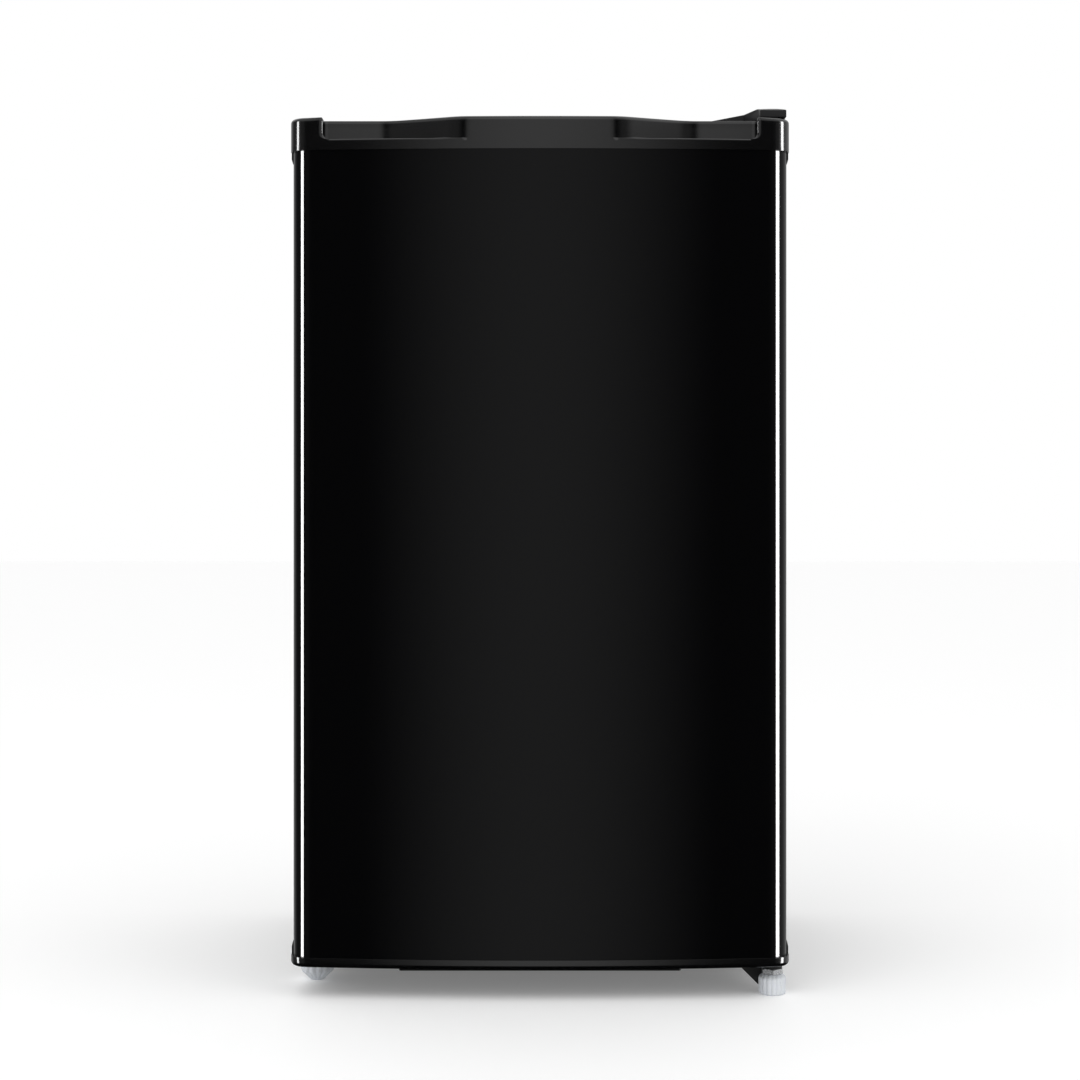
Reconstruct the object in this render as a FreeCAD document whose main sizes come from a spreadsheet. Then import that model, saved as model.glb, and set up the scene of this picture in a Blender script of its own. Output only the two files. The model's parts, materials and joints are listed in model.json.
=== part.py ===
import FreeCAD, Part
import math
import os
import re
import Sketcher
from FreeCAD import Placement, Rotation, Vector

# Mini fridge: a steel cabinet round a foam body and a white liner, with one curved door hinged on
# the right. Millimetres, +Z up, the front faces -Y, and the origin is on the floor under the middle.

doc = FreeCAD.newDocument("mini_fridge")
dims = doc.addObject("Spreadsheet::Sheet", "dims")

DIMENSIONS = {
    # Cabinet: half width, front and rear planes, underside and top
    "cab_half": 235, "cab_front": -162, "cab_back": 198, "cab_low": 28, "cab_top": 835,
    "shell_t": 0.8, "shell_corner": 8, "flange_half": 205, "flange_low": 58, "flange_high": 805,
    # Cold space and its liner, with the step over the compressor at the rear
    "cav_half": 192, "cav_low": 73, "cav_high": 790, "cav_back": 152, "liner_t": 1.2,
    "cav_corner": 14, "hump_front": 40, "hump_lean": 18, "hump_high": 250,
    "ledge_w": 8, "ledge_t": 5, "ledge_low": 262, "ledge_step": 94, "ledge_front": -90, "ledge_rear": 140,
    # Compressor bay, closed off by the bent base pan
    "pan_t": 1, "bay_front": 67, "bay_lean": 21, "bay_high": 214,
    # Door: rear face, front at the middle, how far the front arc stands out, edge radius
    "door_rear": -170, "door_front": -225, "door_bulge": 13, "door_corner": 20,
    "skin_t": 0.8, "skin_low": 39, "skin_high": 802, "skin_return": 13, "foam_gap": 2,
    "cap_low": 29.5, "cap_high": 833, "cap_side": 2, "cap_front": 1, "cap_wall": 2.5, "cap_corner": 17,
    "cap_edge_high": 4, "cap_edge_low": 8, "skirt_rear": -173, "skirt_front": -193, "skirt_down": 10,
    "skirt_up": 12, "lip_half": 133, "lip_drop": 1.5, "lip_inset": 6, "lip_rear": -183.5,
    # Handle in the top cap: scooped sides, a grip in the middle and a finger trough behind it
    "scoop_low": 812, "scoop_half": 205, "scoop_deep": 21, "scoop_bend": 150, "grip_half": 78,
    "scoop_corner": 6, "scoop_edge": 3, "scoop_ahead": 10, "scoop_over": 0.4, "trough_half": 78,
    "trough_front": -213, "trough_rear": -191, "trough_low": 806, "trough_corner": 5,
    # Door liner with the recess that clears the freezer flap, and the two bin dikes
    "panel_half": 234, "panel_low": 31, "panel_high": 831, "panel_t": 1.5,
    "recess_half": 166, "recess_low": 643, "recess_high": 792, "recess_deep": 15,
    "dike_in": 158, "dike_out": 178, "dike_low": 85, "dike_high": 632, "dike_tip": -118, "dike_round": 3,
    "gasket_in": 204, "gasket_out": 220, "gasket_low": 43, "gasket_high": 820, "gasket_gap": 0.3,
    # Door bins and the lugs they hang on
    "bin_half": 152.5, "bin_rear": -168, "bin_front": -120, "bin_wall": 2.2, "bin_round": 8,
    "lug_tip": 152.8, "lug_rear": -150, "lug_front": -138, "lug_top": 35, "lug_tall": 12,
    "hook_w": 4, "hook_t": 3.2, "hook_gap": 0.3,
    "bin_low_z": 95, "bin_low_tall": 95, "bin_mid_z": 310, "bin_mid_tall": 60, "bin_top_z": 500,
    "bin_top_tall": 55,
    # Freezer box, its hangers and its plastic frame
    "evap_half": 170, "evap_low": 670, "evap_high": 785, "evap_front": -60, "evap_rear": 135, "evap_t": 1.5,
    "evap_corner": 8, "hanger_in": 110, "hanger_out": 130, "hanger_front": -20, "hanger_back": 80,
    "hanger_deep": 20, "frame_half": 173, "frame_low": 667, "frame_high": 788, "frame_front": -62.6,
    "frame_rim": 12, "frame_corner": 6, "ear_in": 164.5, "ear_t": 4, "ear_front": -74, "ear_low": 772,
    # Flap on two pins, with a finger slot near its lower edge
    "flap_half": 163, "flap_low": 672, "flap_high": 783.6, "flap_front": -70, "flap_t": 6.7,
    "flap_corner": 5, "flap_edge": 3, "flap_pin_y": -66.8, "flap_pin_z": 780, "flap_pin_r": 2,
    "flap_pin_in": 157, "slot_half": 45, "slot_low": 680, "slot_high": 698, "slot_deep": 3, "run_gap": 0.05,
    # Drip tray and its two rails
    "tray_half": 158, "tray_low": 648, "tray_high": 664, "tray_front": -62, "tray_rear": 120, "tray_wall": 2,
    "tray_corner": 6, "tray_inset": 10, "tray_play": 0.5, "rail_in": 161, "rail_out": 170, "rail_low": 654,
    "rail_t": 2, "runner_front": -56,
    # Glass shelves
    "shelf_half": 190, "shelf_front": -75, "shelf_rear": 142, "glass_t": 4, "glass_inset": 3,
    "trim_w": 12, "trim_t": 9, "trim_rise": 1.5, "trim_gap": 1, "shelf_gap": 0.3,
    # Thermostat on the right wall
    "stat_in": 166, "stat_front": -105, "stat_rear": -35, "stat_low": 560, "stat_high": 630, "stat_wall": 2,
    "stat_corner": 6, "switch_in": 178, "switch_half": 15, "knob_y": -70, "knob_z": 595, "knob_r": 17,
    "knob_t": 10, "knob_taper": 1.5, "knob_gap": 1.5, "shaft_r": 3, "shaft_in": 10, "fin_rise": 5,
    "fin_half": 2.5, "fin_reach": 13,
    # Hinge plates with a neck that runs forward to the pin
    "hinge_x": 222, "hinge_y": -190, "pin_r": 4, "bush_r": 7, "boss_r": 9.5, "plate_t": 3, "plate_end": 9.5,
    "bush_tall": 11, "bush_long": 23, "top_pin_low": 812, "pin_head_r": 6, "pin_head_t": 2,
    "low_pin_high": 40, "plug_deep": 9, "plug_head": 0.6, "hole_cap_t": 1.5,
    "top_plate_in": 178, "top_plate_rear": -100, "low_plate_in": 184, "low_plate_rear": -96,
    "plate_side": 232, "plate_front": -142, "neck_flare": 12, "neck_rear": -160, "neck_front": -182,
    "screw_in": 14, "screw_out": 14, "screw_front": -134, "screw_rear": 10, "screw_head_r": 5,
    "screw_head_t": 2, "gusset_t": 3, "gusset_y": -176, "gusset_in": 190, "gusset_low": 4,
    # Cover over the upper hinge: heights along its front, and a nose over the pin
    "cover_in": 158, "cover_out": 234, "cover_front": -165, "cover_rear": -94, "cover_wall": 2,
    "cover_high": 849, "cover_chamfer": 4, "toe_high": 836.5, "heel_x": 178, "heel_high": 840.4,
    "rise_x": 198, "rise_high": 844.2, "brow_x": 213, "brow_high": 847, "crest_x": 221,
    "nose_in": 209, "nose_front": -204, "nose_root": -187, "nose_flare": 12, "nose_high": 842,
    "nose_crest": -170, "head_gap": 0.3,
    # Feet
    "stud_r": 4.9, "stud_low": 3.5, "nut_r": 11, "nut_t": 5, "nut_gap": 0.4, "foot_r": 13.2,
    "foot_tall": 19, "foot_floor": 3, "foot_shoulder": 3, "flute_low": 0.8, "flute_out": 0.9, "flute_r": 1.5,
    "left_foot_x": -219, "left_foot_y": -130, "left_foot_r": 16.2, "left_foot_tip": 7, "left_foot_cone": 9,
    "left_foot_tall": 20, "left_flute_low": 4, "rear_foot_x": 200, "rear_foot_y": 172, "rear_foot_r": 15,
    "rear_foot_tip": 12,
    # Compressor and its rail
    "rail_front": 92, "rail_rear": 197, "rail_plate": 3, "rail_lip": 12, "rail_lip_t": 2,
    "comp_half": 88, "comp_y": 143, "comp_deep": 50, "comp_low": 39, "comp_mid": 112, "comp_high": 186,
    "comp_round": 46, "comp_edge": 26, "comp_wall": 3, "comp_bolt_x": 98, "comp_bolt_y": 36, "bolt_r": 4,
    "bolt_gap": 0.2, "bolt_over": 6, "bolt_head_r": 8, "bolt_head_t": 5, "tab_t": 3, "tab_reach": 12,
    "tab_corner": 8, "grommet_r": 9, "stator_low": 51, "stator_tall": 52, "stator_r": 38,
    "casting_half": 34, "casting_deep": 30, "casting_low": 103, "casting_tall": 28,
    "cylinder_half": 48, "cylinder_z": 119, "cylinder_r": 15,
    "cup_half": 22, "cup_low": 78, "cup_high": 130, "cup_corner": 6, "cup_wall": 2,
    # Heat exchanger on the rear
    "coil_y": 219.5, "coil_r": 2.5, "coil_half": 195, "coil_low": 250, "coil_step": 38, "coil_bend": 17,
    "wire_r": 0.75, "wire_step": 18, "wire_half": 162, "wire_over": 6, "wall_y": 226,
    "bracket_in": 168, "bracket_out": 178, "bracket_half": 8,
    # Filter drier, and the pipes that leave the compressor on its left and right
    "drier_x": -215, "drier_r": 5.4, "drier_low": 140, "drier_high": 228, "drier_taper": 10,
    "pipe_r": 3, "pipe_bend": 16, "suction_bend": 9, "port_y": 151, "pipe_left": -140, "discharge_z": 98,
    "joint_z": 230, "pipe_right": 130, "suction_z": 146, "suction_y": 210, "suction_top": 312,
    # Drip pan over the compressor and its drain
    "pan_half": 75, "pan_front": 102, "pan_rear": 178, "pan_corner": 8, "drip_low": 190, "drip_high": 209,
    "drip_wall": 2, "drain_y": 120, "drain_r": 6, "drain_bore": 4, "drain_low": 202,
    # Cord gland on the rear panel
    "gland_x": 160, "gland_z": 236, "gland_r": 9, "gland_flange": 3, "gland_long": 11, "gland_neck": 7,
    "gland_tip": 5.5, "gland_bore": 3.6,
}
LEDGES = 4
COIL_PASSES = 14
BRACKET_PASSES = (1, 6, 12)
WIRES = 19
FLUTES = 20
TOUCH = 1e-4

for row, (name, value) in enumerate(DIMENSIONS.items(), start=1):
    dims.set(f"A{row}", name)
    dims.set(f"B{row}", str(value))
    dims.setAlias(f"B{row}", name)
doc.recompute()

NODES = []


def ex(text):
    """An expression whose dimension names any object of the document can read."""
    return re.sub(r"[A-Za-z_]\w*", lambda m: "dims." * (m[0] in DIMENSIONS) + m[0], str(text))


def val(text):
    """An expression's value now, in millimetres."""
    return float(dims.evalExpression(ex(text)))


def keep(node, thing):
    """Name a finished sub-part."""
    thing.Label = node
    NODES.append(thing)
    return thing


# Outlines: a list of (x, y), or (x, y, r) where an arc of radius r leads to the next point,
# anticlockwise when r is positive. A circle is a single (x, y, r).

def rectangle(x0, y0, x1, y1):
    return [(x0, y0), (x1, y0), (x1, y1), (x0, y1)]


def rounded(x0, y0, x1, y1, r):
    """Rectangle with all four corners rounded."""
    left, right, low, high = f"{x0} + {r}", f"{x1} - {r}", f"{y0} + {r}", f"{y1} - {r}"
    return [(left, y0), (right, y0, r), (x1, low), (x1, high, r),
            (right, y1), (left, y1, r), (x0, high), (x0, low, r)]


def arc_edge(start, end, radius):
    """The shorter arc between two points, and which of its ends is the start point."""
    chord = end - start
    side = 1 if radius > 0 else -1
    rise = math.sqrt(max(radius ** 2 - chord.Length ** 2 / 4, 0))
    normal = Vector(-chord.y, chord.x, 0).normalize()
    centre = (start + end) * 0.5 + normal * (side * rise)
    first, last = (start, end) if side > 0 else (end, start)
    angles = [math.atan2((p - centre).y, (p - centre).x) for p in (first, last)]
    if angles[1] < angles[0]:
        angles[1] += 2 * math.pi
    circle = Part.Circle(centre, Vector(0, 0, 1), abs(radius))
    return Part.ArcOfCircle(circle, *angles), (1, 2) if side > 0 else (2, 1)


def pin_point(sketch, geometry, end, x, y):
    """Hold a sketch point at its two distances from the origin."""
    for kind, size in (("DistanceX", x), ("DistanceY", y)):
        index = sketch.addConstraint(Sketcher.Constraint(kind, -1, 1, geometry, end, val(size)))
        sketch.setExpression(f"Constraints[{index}]", ex(size))


def pin_radius(sketch, geometry, radius):
    index = sketch.addConstraint(Sketcher.Constraint("Radius", geometry, abs(val(radius))))
    sketch.setExpression(f"Constraints[{index}]", f"abs({ex(radius)})")


def draw(sketch, points):
    """Add one closed, fully held loop to a sketch."""
    first = sketch.GeometryCount
    if len(points) == 1:
        x, y, r = points[0]
        sketch.addGeometry(Part.Circle(Vector(val(x), val(y), 0), Vector(0, 0, 1), val(r)))
        pin_point(sketch, first, 3, x, y)
        pin_radius(sketch, first, r)
        return
    places = [Vector(val(p[0]), val(p[1]), 0) for p in points]
    ends = []
    for here, there, point in zip(places, places[1:] + places[:1], points):
        if len(point) == 2:
            sketch.addGeometry(Part.LineSegment(here, there))
            ends.append((1, 2))
        else:
            edge, order = arc_edge(here, there, val(point[2]))
            sketch.addGeometry(edge)
            ends.append(order)
    for i, point in enumerate(points):
        after = (i + 1) % len(points)
        sketch.addConstraint(
            Sketcher.Constraint("Coincident", first + i, ends[i][1], first + after, ends[after][0]))
        pin_point(sketch, first + i, ends[i][0], point[0], point[1])
        if len(point) == 3:
            pin_radius(sketch, first + i, point[2])


class Piece:
    """A PartDesign body built from pads and pockets between two planes."""

    def __init__(self, node):
        self.body = doc.addObject("PartDesign::Body", "body")
        keep(node, self.body)

    def _feature(self, kind, plane, height, length, loops):
        sketch = self.body.newObject("Sketcher::SketchObject", "outline")
        support = next(f for f in self.body.Origin.OriginFeatures if f.Role == plane + "_Plane")
        sketch.AttachmentSupport = [(support, "")]
        sketch.MapMode = "FlatFace"
        sketch.setExpression("AttachmentOffset.Base.z", ex(height))
        for loop in loops:
            draw(sketch, loop)
        feature = self.body.newObject("PartDesign::" + kind, kind.lower())
        feature.Profile = sketch
        feature.setExpression("Length", ex(length))
        return self

    def pad(self, plane, low, high, *loops):
        """Add material over the loops, from low to high across the plane."""
        height = f"-({high})" if plane == "XZ" else low
        return self._feature("Pad", plane, height, f"({high}) - ({low})", loops)

    def pocket(self, plane, low, high, *loops):
        """Take material away over the loops, from low to high across the plane."""
        height = f"-({low})" if plane == "XZ" else high
        return self._feature("Pocket", plane, height, f"({high}) - ({low})", loops)

    def round(self, radius, chosen):
        """Round the edges that the test picks out."""
        doc.recompute()
        base = self.body.Tip
        names = [f"Edge{i}" for i, edge in enumerate(base.Shape.Edges, start=1) if chosen(edge)]
        fillet = self.body.newObject("PartDesign::Fillet", "fillet")
        fillet.Base = (base, names)
        fillet.setExpression("Radius", ex(radius))
        return self

    def hollow(self, wall, chosen):
        """Leave a wall of even thickness, open at the faces that the test picks out."""
        doc.recompute()
        base = self.body.Tip
        names = [f"Face{i}" for i, face in enumerate(base.Shape.Faces, start=1) if chosen(face)]
        shell = self.body.newObject("PartDesign::Thickness", "thickness")
        shell.Base = (base, names)
        shell.Join = 1
        shell.Reversed = True
        shell.setExpression("Value", ex(wall))
        return self


def runs(edge, axis):
    """Whether an edge is straight along an axis."""
    box = edge.BoundBox
    spans = {"X": box.XLength, "Y": box.YLength, "Z": box.ZLength}
    return spans.pop(axis) > TOUCH and max(spans.values()) < TOUCH


def lies_at(thing, axis, place):
    """Whether an edge or face lies in the plane across an axis at a place."""
    box = thing.BoundBox
    low, high = {"X": (box.XMin, box.XMax), "Y": (box.YMin, box.YMax), "Z": (box.ZMin, box.ZMax)}[axis]
    return abs(low - val(place)) < TOUCH and abs(high - val(place)) < TOUCH


def block(x, y, z):
    """Box between pairs of low and high places."""
    box = doc.addObject("Part::Box", "block")
    for size, place, (low, high) in zip(("Length", "Width", "Height"), "xyz", (x, y, z)):
        box.setExpression(size, ex(f"({high}) - ({low})"))
        box.setExpression(f"Placement.Base.{place}", ex(low))
    return box


TURNS = {"X": Rotation(Vector(0, 1, 0), 90), "Y": Rotation(Vector(1, 0, 0), -90), "Z": Rotation()}


def rod(axis, start, length, radius, end_radius=None):
    """Cylinder, or a cone where an end radius is given, from a start point along an axis."""
    kind, names = ("Cylinder", ["Radius"]) if end_radius is None else ("Cone", ["Radius1", "Radius2"])
    thing = doc.addObject("Part::" + kind, kind.lower())
    thing.Placement = Placement(Vector(), TURNS[axis])
    for place, where in zip("xyz", start):
        thing.setExpression(f"Placement.Base.{place}", ex(where))
    for name, size in zip(names, (radius, end_radius)):
        thing.setExpression(name, ex(size))
    thing.setExpression("Height", ex(length))
    return thing


def hexagon(start, tall, corner_r):
    """Upright hexagonal prism."""
    thing = doc.addObject("Part::Prism", "prism")
    thing.Polygon = 6
    for place, where in zip("xyz", start):
        thing.setExpression(f"Placement.Base.{place}", ex(where))
    thing.setExpression("Circumradius", ex(corner_r))
    thing.setExpression("Height", ex(tall))
    return thing


def join(*things):
    fuse = doc.addObject("Part::MultiFuse", "fuse")
    fuse.Shapes = list(things)
    fuse.Refine = True
    return fuse


def cut(base, *tools):
    result = doc.addObject("Part::Cut", "cut")
    result.Base = base
    result.Tool = tools[0] if len(tools) == 1 else join(*tools)
    return result


def group(*things):
    compound = doc.addObject("Part::Compound", "group")
    compound.Links = list(things)
    return compound


def tube(node, radius, bend, route):
    """Round pipe along straight runs joined by tangent arcs."""
    points = [Vector(*(val(place) for place in point)) for point in route]
    bend, radius = val(bend), val(radius)
    edges = []
    start = points[0]
    for before, corner, after in zip(points, points[1:], points[2:]):
        back = (before - corner).normalize()
        on = (after - corner).normalize()
        half = back.getAngle(on) / 2
        trim = bend / math.tan(half)
        middle = corner + (back + on).normalize() * (bend / math.sin(half) - bend)
        edges.append(Part.LineSegment(start, corner + back * trim).toShape())
        edges.append(Part.Arc(corner + back * trim, middle, corner + on * trim).toShape())
        start = corner + on * trim
    edges.append(Part.LineSegment(start, points[-1]).toShape())
    path = Part.Wire(edges)
    section = Part.Wire(Part.Circle(points[0], points[1] - points[0], radius).toShape())
    feature = doc.addObject("Part::Feature", "tube")
    feature.Shape = path.makePipeShell([section], True, False)
    ratio = feature.Shape.Volume / (math.pi * radius ** 2 * path.Length)
    print(f"{node}: volume is {ratio:.4f} of section times length")
    return keep(node, feature)


def both(low, high):
    """The same x range on the left and on the right."""
    return [(f"-({high})", f"-({low})"), (low, high)]


# The plan of the door: flat rear, straight sides, rounded edges and one long arc across the front.

FRONT_R = "((cab_half^2 + door_bulge^2) / (2 * door_bulge))"


def front_y(x, inset="0"):
    """Where the front arc, moved inwards by an inset, is at a given x."""
    return f"(door_front + {FRONT_R} - sqrt(({FRONT_R} - ({inset}))^2 - ({x})^2))"


def door_plan(half, inset, corner, rear):
    """Outline of the door at a half width, with its front moved inwards by an inset."""
    big = f"({FRONT_R} - ({inset}))"
    centre_x = f"({half} - ({corner}))"
    reach = f"sqrt(({big} - ({corner}))^2 - {centre_x}^2)"
    grow = f"({big} / ({big} - ({corner})))"
    side_y = f"(door_front + {FRONT_R} - {reach})"
    meet_x = f"({centre_x} * {grow})"
    meet_y = f"(door_front + {FRONT_R} - {reach} * {grow})"
    return [(f"-({half})", rear), (f"-({half})", side_y, corner), (f"-{meet_x}", meet_y, big),
            (meet_x, meet_y, corner), (half, side_y), (half, rear)]


# ---------------------------------------------------------------- cabinet

def outer_shell():
    """Painted steel wrap: two sides, the top and the front flange round the opening."""
    shell = Piece("outer_shell")
    shell.pad("XZ", "cab_front", "cab_back", rectangle("-cab_half", "cab_low", "cab_half", "cab_top"))
    shell.round("shell_corner", lambda e: runs(e, "Y") and lies_at(e, "Z", "cab_top"))
    side, roof = "(cab_half - shell_t)", "(cab_top - shell_t)"
    bend = "(shell_corner - shell_t)"
    inside = [(f"-{side}", "cab_low - 1"), (side, "cab_low - 1"), (side, f"{roof} - {bend}", bend),
              (f"{side} - {bend}", roof), (f"{bend} - {side}", roof, bend), (f"-{side}", f"{roof} - {bend}")]
    shell.pocket("XZ", "cab_front + shell_t", "cab_back", inside)
    mouth = rectangle("-flange_half", "cab_low - 1", "flange_half", "flange_high")
    shell.pocket("XZ", "cab_front", "cab_front + shell_t", mouth)


def base_pan():
    """Bent sheet under the cabinet that also closes off the compressor bay."""
    pan = Piece("base_pan")
    top_y = "bay_front + bay_lean"
    sheet = [("cab_front + shell_t", "cab_low"), ("bay_front", "cab_low"), (top_y, "bay_high"),
             ("cab_back - shell_t", "bay_high"), ("cab_back - shell_t", "bay_high + pan_t"),
             (f"{top_y} - pan_t", "bay_high + pan_t"), ("bay_front - pan_t", "cab_low + pan_t"),
             ("cab_front + shell_t", "cab_low + pan_t")]
    pan.pad("YZ", "-cab_half + shell_t", "cab_half - shell_t", sheet)
    pan.pad("XZ", "cab_front", "cab_front + pan_t",
            rectangle("-flange_half", "cab_low", "flange_half", "flange_low"))
    pan.pocket("XY", "bay_high", "bay_high + pan_t", [("0", "drain_y", "drain_r")])


def cold_space(inset):
    """Side view of the cold space, open at the front, grown by an inset on every side."""
    front = "cab_front"
    return [(front, f"cav_low - {inset}"), (f"hump_front - {inset}", f"cav_low - {inset}"),
            (f"hump_front + hump_lean - {inset}", f"hump_high - {inset}"),
            (f"cav_back + {inset}", f"hump_high - {inset}"),
            (f"cav_back + {inset}", f"cav_high + {inset}"), (front, f"cav_high + {inset}")]


def cabinet_foam():
    """Insulation between the steel and the liner."""
    foam = Piece("cabinet_foam")
    outside = rectangle("-cab_half + shell_t", "cab_low + pan_t", "cab_half - shell_t", "cab_top - shell_t")
    foam.pad("XZ", "cab_front + liner_t", "cab_back - shell_t", outside)
    top_y = "bay_front + bay_lean - pan_t"
    bay = [("bay_front - pan_t", "cab_low + pan_t"), (top_y, "bay_high + pan_t"),
           ("cab_back", "bay_high + pan_t"), ("cab_back", "cab_low"), ("bay_front - pan_t", "cab_low")]
    foam.pocket("YZ", "-cab_half", "cab_half", bay)
    foam.pocket("YZ", "-cav_half - liner_t", "cav_half + liner_t", cold_space("liner_t"))
    foam.pocket("XY", "bay_high", "hump_high", [("0", "drain_y", "drain_r")])
    foam.round("shell_corner - shell_t", lambda e: runs(e, "Y") and lies_at(e, "Z", "cab_top - shell_t"))


def inner_liner():
    """White formed liner with ledges for the shelves and a flange round its mouth."""
    liner = Piece("inner_liner")
    liner.pad("YZ", "-cav_half - liner_t", "cav_half + liner_t", cold_space("liner_t"))
    liner.round("cav_corner", lambda e: runs(e, "Y"))
    liner.hollow("liner_t", lambda f: lies_at(f, "Y", "cab_front"))
    liner.pad("XZ", "cab_front", "cab_front + liner_t",
              rectangle("-flange_half", "flange_low", "flange_half", "flange_high"),
              rounded("-cav_half", "cav_low", "cav_half", "cav_high", "(cav_corner - liner_t)"))
    for level in range(LEDGES):
        top = f"(ledge_low + {level} * ledge_step)"
        for low, high in both("cav_half - ledge_w", "cav_half + liner_t / 2"):
            liner.pad("XZ", "ledge_front", "ledge_rear", rectangle(low, f"{top} - ledge_t", high, top))
    liner.pocket("XY", "hump_high - liner_t", "hump_high", [("0", "drain_y", "drain_bore")])


def rear_panel():
    """Galvanised sheet let in between the sides, above the compressor bay."""
    panel = Piece("rear_panel")
    edge = "cab_half - shell_t"
    panel.pad("XZ", "cab_back - shell_t", "cab_back",
              rectangle(f"-({edge})", "bay_high + pan_t", edge, "cab_top - shell_t"))
    panel.round("shell_corner - shell_t",
                lambda e: runs(e, "Y") and lies_at(e, "Z", "cab_top - shell_t"))


# ---------------------------------------------------------------- door

def door_skin():
    """Glossy black sheet wrapped round the front and the edges, with returns at the rear."""
    skin = Piece("door_skin")
    skin.pad("XY", "skin_low", "skin_high", door_plan("cab_half", "0", "door_corner", "door_rear"))
    inside = door_plan("(cab_half - skin_t)", "skin_t", "(door_corner - skin_t)",
                       "door_rear - panel_t - skin_t")
    skin.pocket("XY", "skin_low", "skin_high", inside)
    window = "cab_half - skin_return"
    skin.pocket("XY", "skin_low", "skin_high",
                rectangle(f"-({window})", "door_rear - panel_t - 2 * skin_t", window, "door_rear + 1"))
    seat = "cab_half - skin_t"
    skin.pocket("XY", "skin_low", "skin_high",
                rectangle(f"-({seat})", "door_rear - panel_t", seat, "door_rear + 1"))


def door_foam():
    """Insulation in the door, with room for the liner's recess."""
    foam = Piece("door_foam")
    foam.pad("XY", "skin_low + foam_gap", "skin_high - foam_gap",
             door_plan("(cab_half - skin_t)", "skin_t", "(door_corner - skin_t)",
                       "door_rear - panel_t - skin_t"))
    foam.pocket("XZ", "door_rear - recess_deep - panel_t", "door_rear",
                rectangle("-recess_half - panel_t", "recess_low - panel_t",
                          "recess_half + panel_t", "recess_high + panel_t"))


def door_liner():
    """White inner panel with the recess for the freezer flap, two dikes and the bin lugs."""
    liner = Piece("door_liner")
    liner.pad("XZ", "door_rear - panel_t", "door_rear",
              rectangle("-panel_half", "panel_low", "panel_half", "panel_high"))
    liner.pad("XZ", "door_rear - recess_deep - panel_t", "door_rear - panel_t / 2",
              rectangle("-recess_half - panel_t", "recess_low - panel_t",
                        "recess_half + panel_t", "recess_high + panel_t"))
    liner.pocket("XZ", "door_rear - recess_deep", "door_rear + 1",
                 rectangle("-recess_half", "recess_low", "recess_half", "recess_high"))
    for low, high in both("dike_in", "dike_out"):
        liner.pad("XZ", "door_rear - panel_t / 2", "dike_tip", rectangle(low, "dike_low", high, "dike_high"))
    liner.round("dike_round", lambda e: lies_at(e, "Y", "dike_tip"))
    for low, high in both("dike_in + panel_t", "dike_out - panel_t"):
        liner.pocket("XZ", "door_rear - panel_t", "dike_tip - panel_t",
                     rectangle(low, "dike_low + panel_t", high, "dike_high - panel_t"))
    for base in ("bin_low_z", "bin_mid_z", "bin_top_z"):
        top = f"{base} + lug_top"
        for low, high in both("lug_tip", "dike_in + panel_t / 2"):
            liner.pad("XZ", "lug_rear", "lug_front", rectangle(low, f"{top} - lug_tall", high, top))


def door_gasket():
    """Magnetic seal round the rear face of the door."""
    gasket = Piece("door_gasket")
    width = "(gasket_out - gasket_in)"
    gasket.pad("XZ", "door_rear", "cab_front - gasket_gap",
               rectangle("-gasket_out", "gasket_low", "gasket_out", "gasket_high"),
               rectangle("-gasket_in", f"gasket_low + {width}", "gasket_in", f"gasket_high - {width}"))


CAP_HALF = "(cab_half + cap_side)"
CAP_INNER = "(cab_half + cap_side - cap_wall)"
CAP_REAR = "(door_rear - panel_t)"
CAP_HOLLOW = "(cap_corner - cap_wall)"


def cap_skirts(cap, root, tip):
    """The two lugs by which an end cap laps over the door's sides, tapered towards their tips."""
    taper = f"({root} + ({tip} - {root}) * 0.6)"
    for sign in ("-", ""):
        near, far = f"{sign}cab_half", f"{sign}{CAP_HALF}"
        cap.pad("XZ", "skirt_front", "skirt_rear", [(near, root), (far, root), (far, taper), (near, tip)])


def cap_body(node, low, high):
    """Solid end cap that overlaps the door panel's outline all round."""
    cap = Piece(node)
    cap.pad("XY", low, high, door_plan(CAP_HALF, "-cap_front", "cap_corner", CAP_REAR))
    return cap


def cap_hollow(cap, low, high):
    """Hollow an end cap between two levels, with a boss round each hinge hole."""
    cap.pocket("XY", low, high,
               door_plan(CAP_INNER, "cap_wall - cap_front", CAP_HOLLOW, f"{CAP_REAR} - cap_wall"),
               [("hinge_x", "hinge_y", "boss_r")], [("-hinge_x", "hinge_y", "boss_r")])


def outer_edge(level):
    """Test for the cap's outer edges at a level, leaving out its straight rear edge."""
    return lambda e: lies_at(e, "Z", level) and e.BoundBox.YMax < val(CAP_REAR) - TOUCH


def hinge_holes(cap, low, high):
    cap.pocket("XY", low, high, [("hinge_x", "hinge_y", "bush_r")], [("-hinge_x", "hinge_y", "bush_r")])


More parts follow.
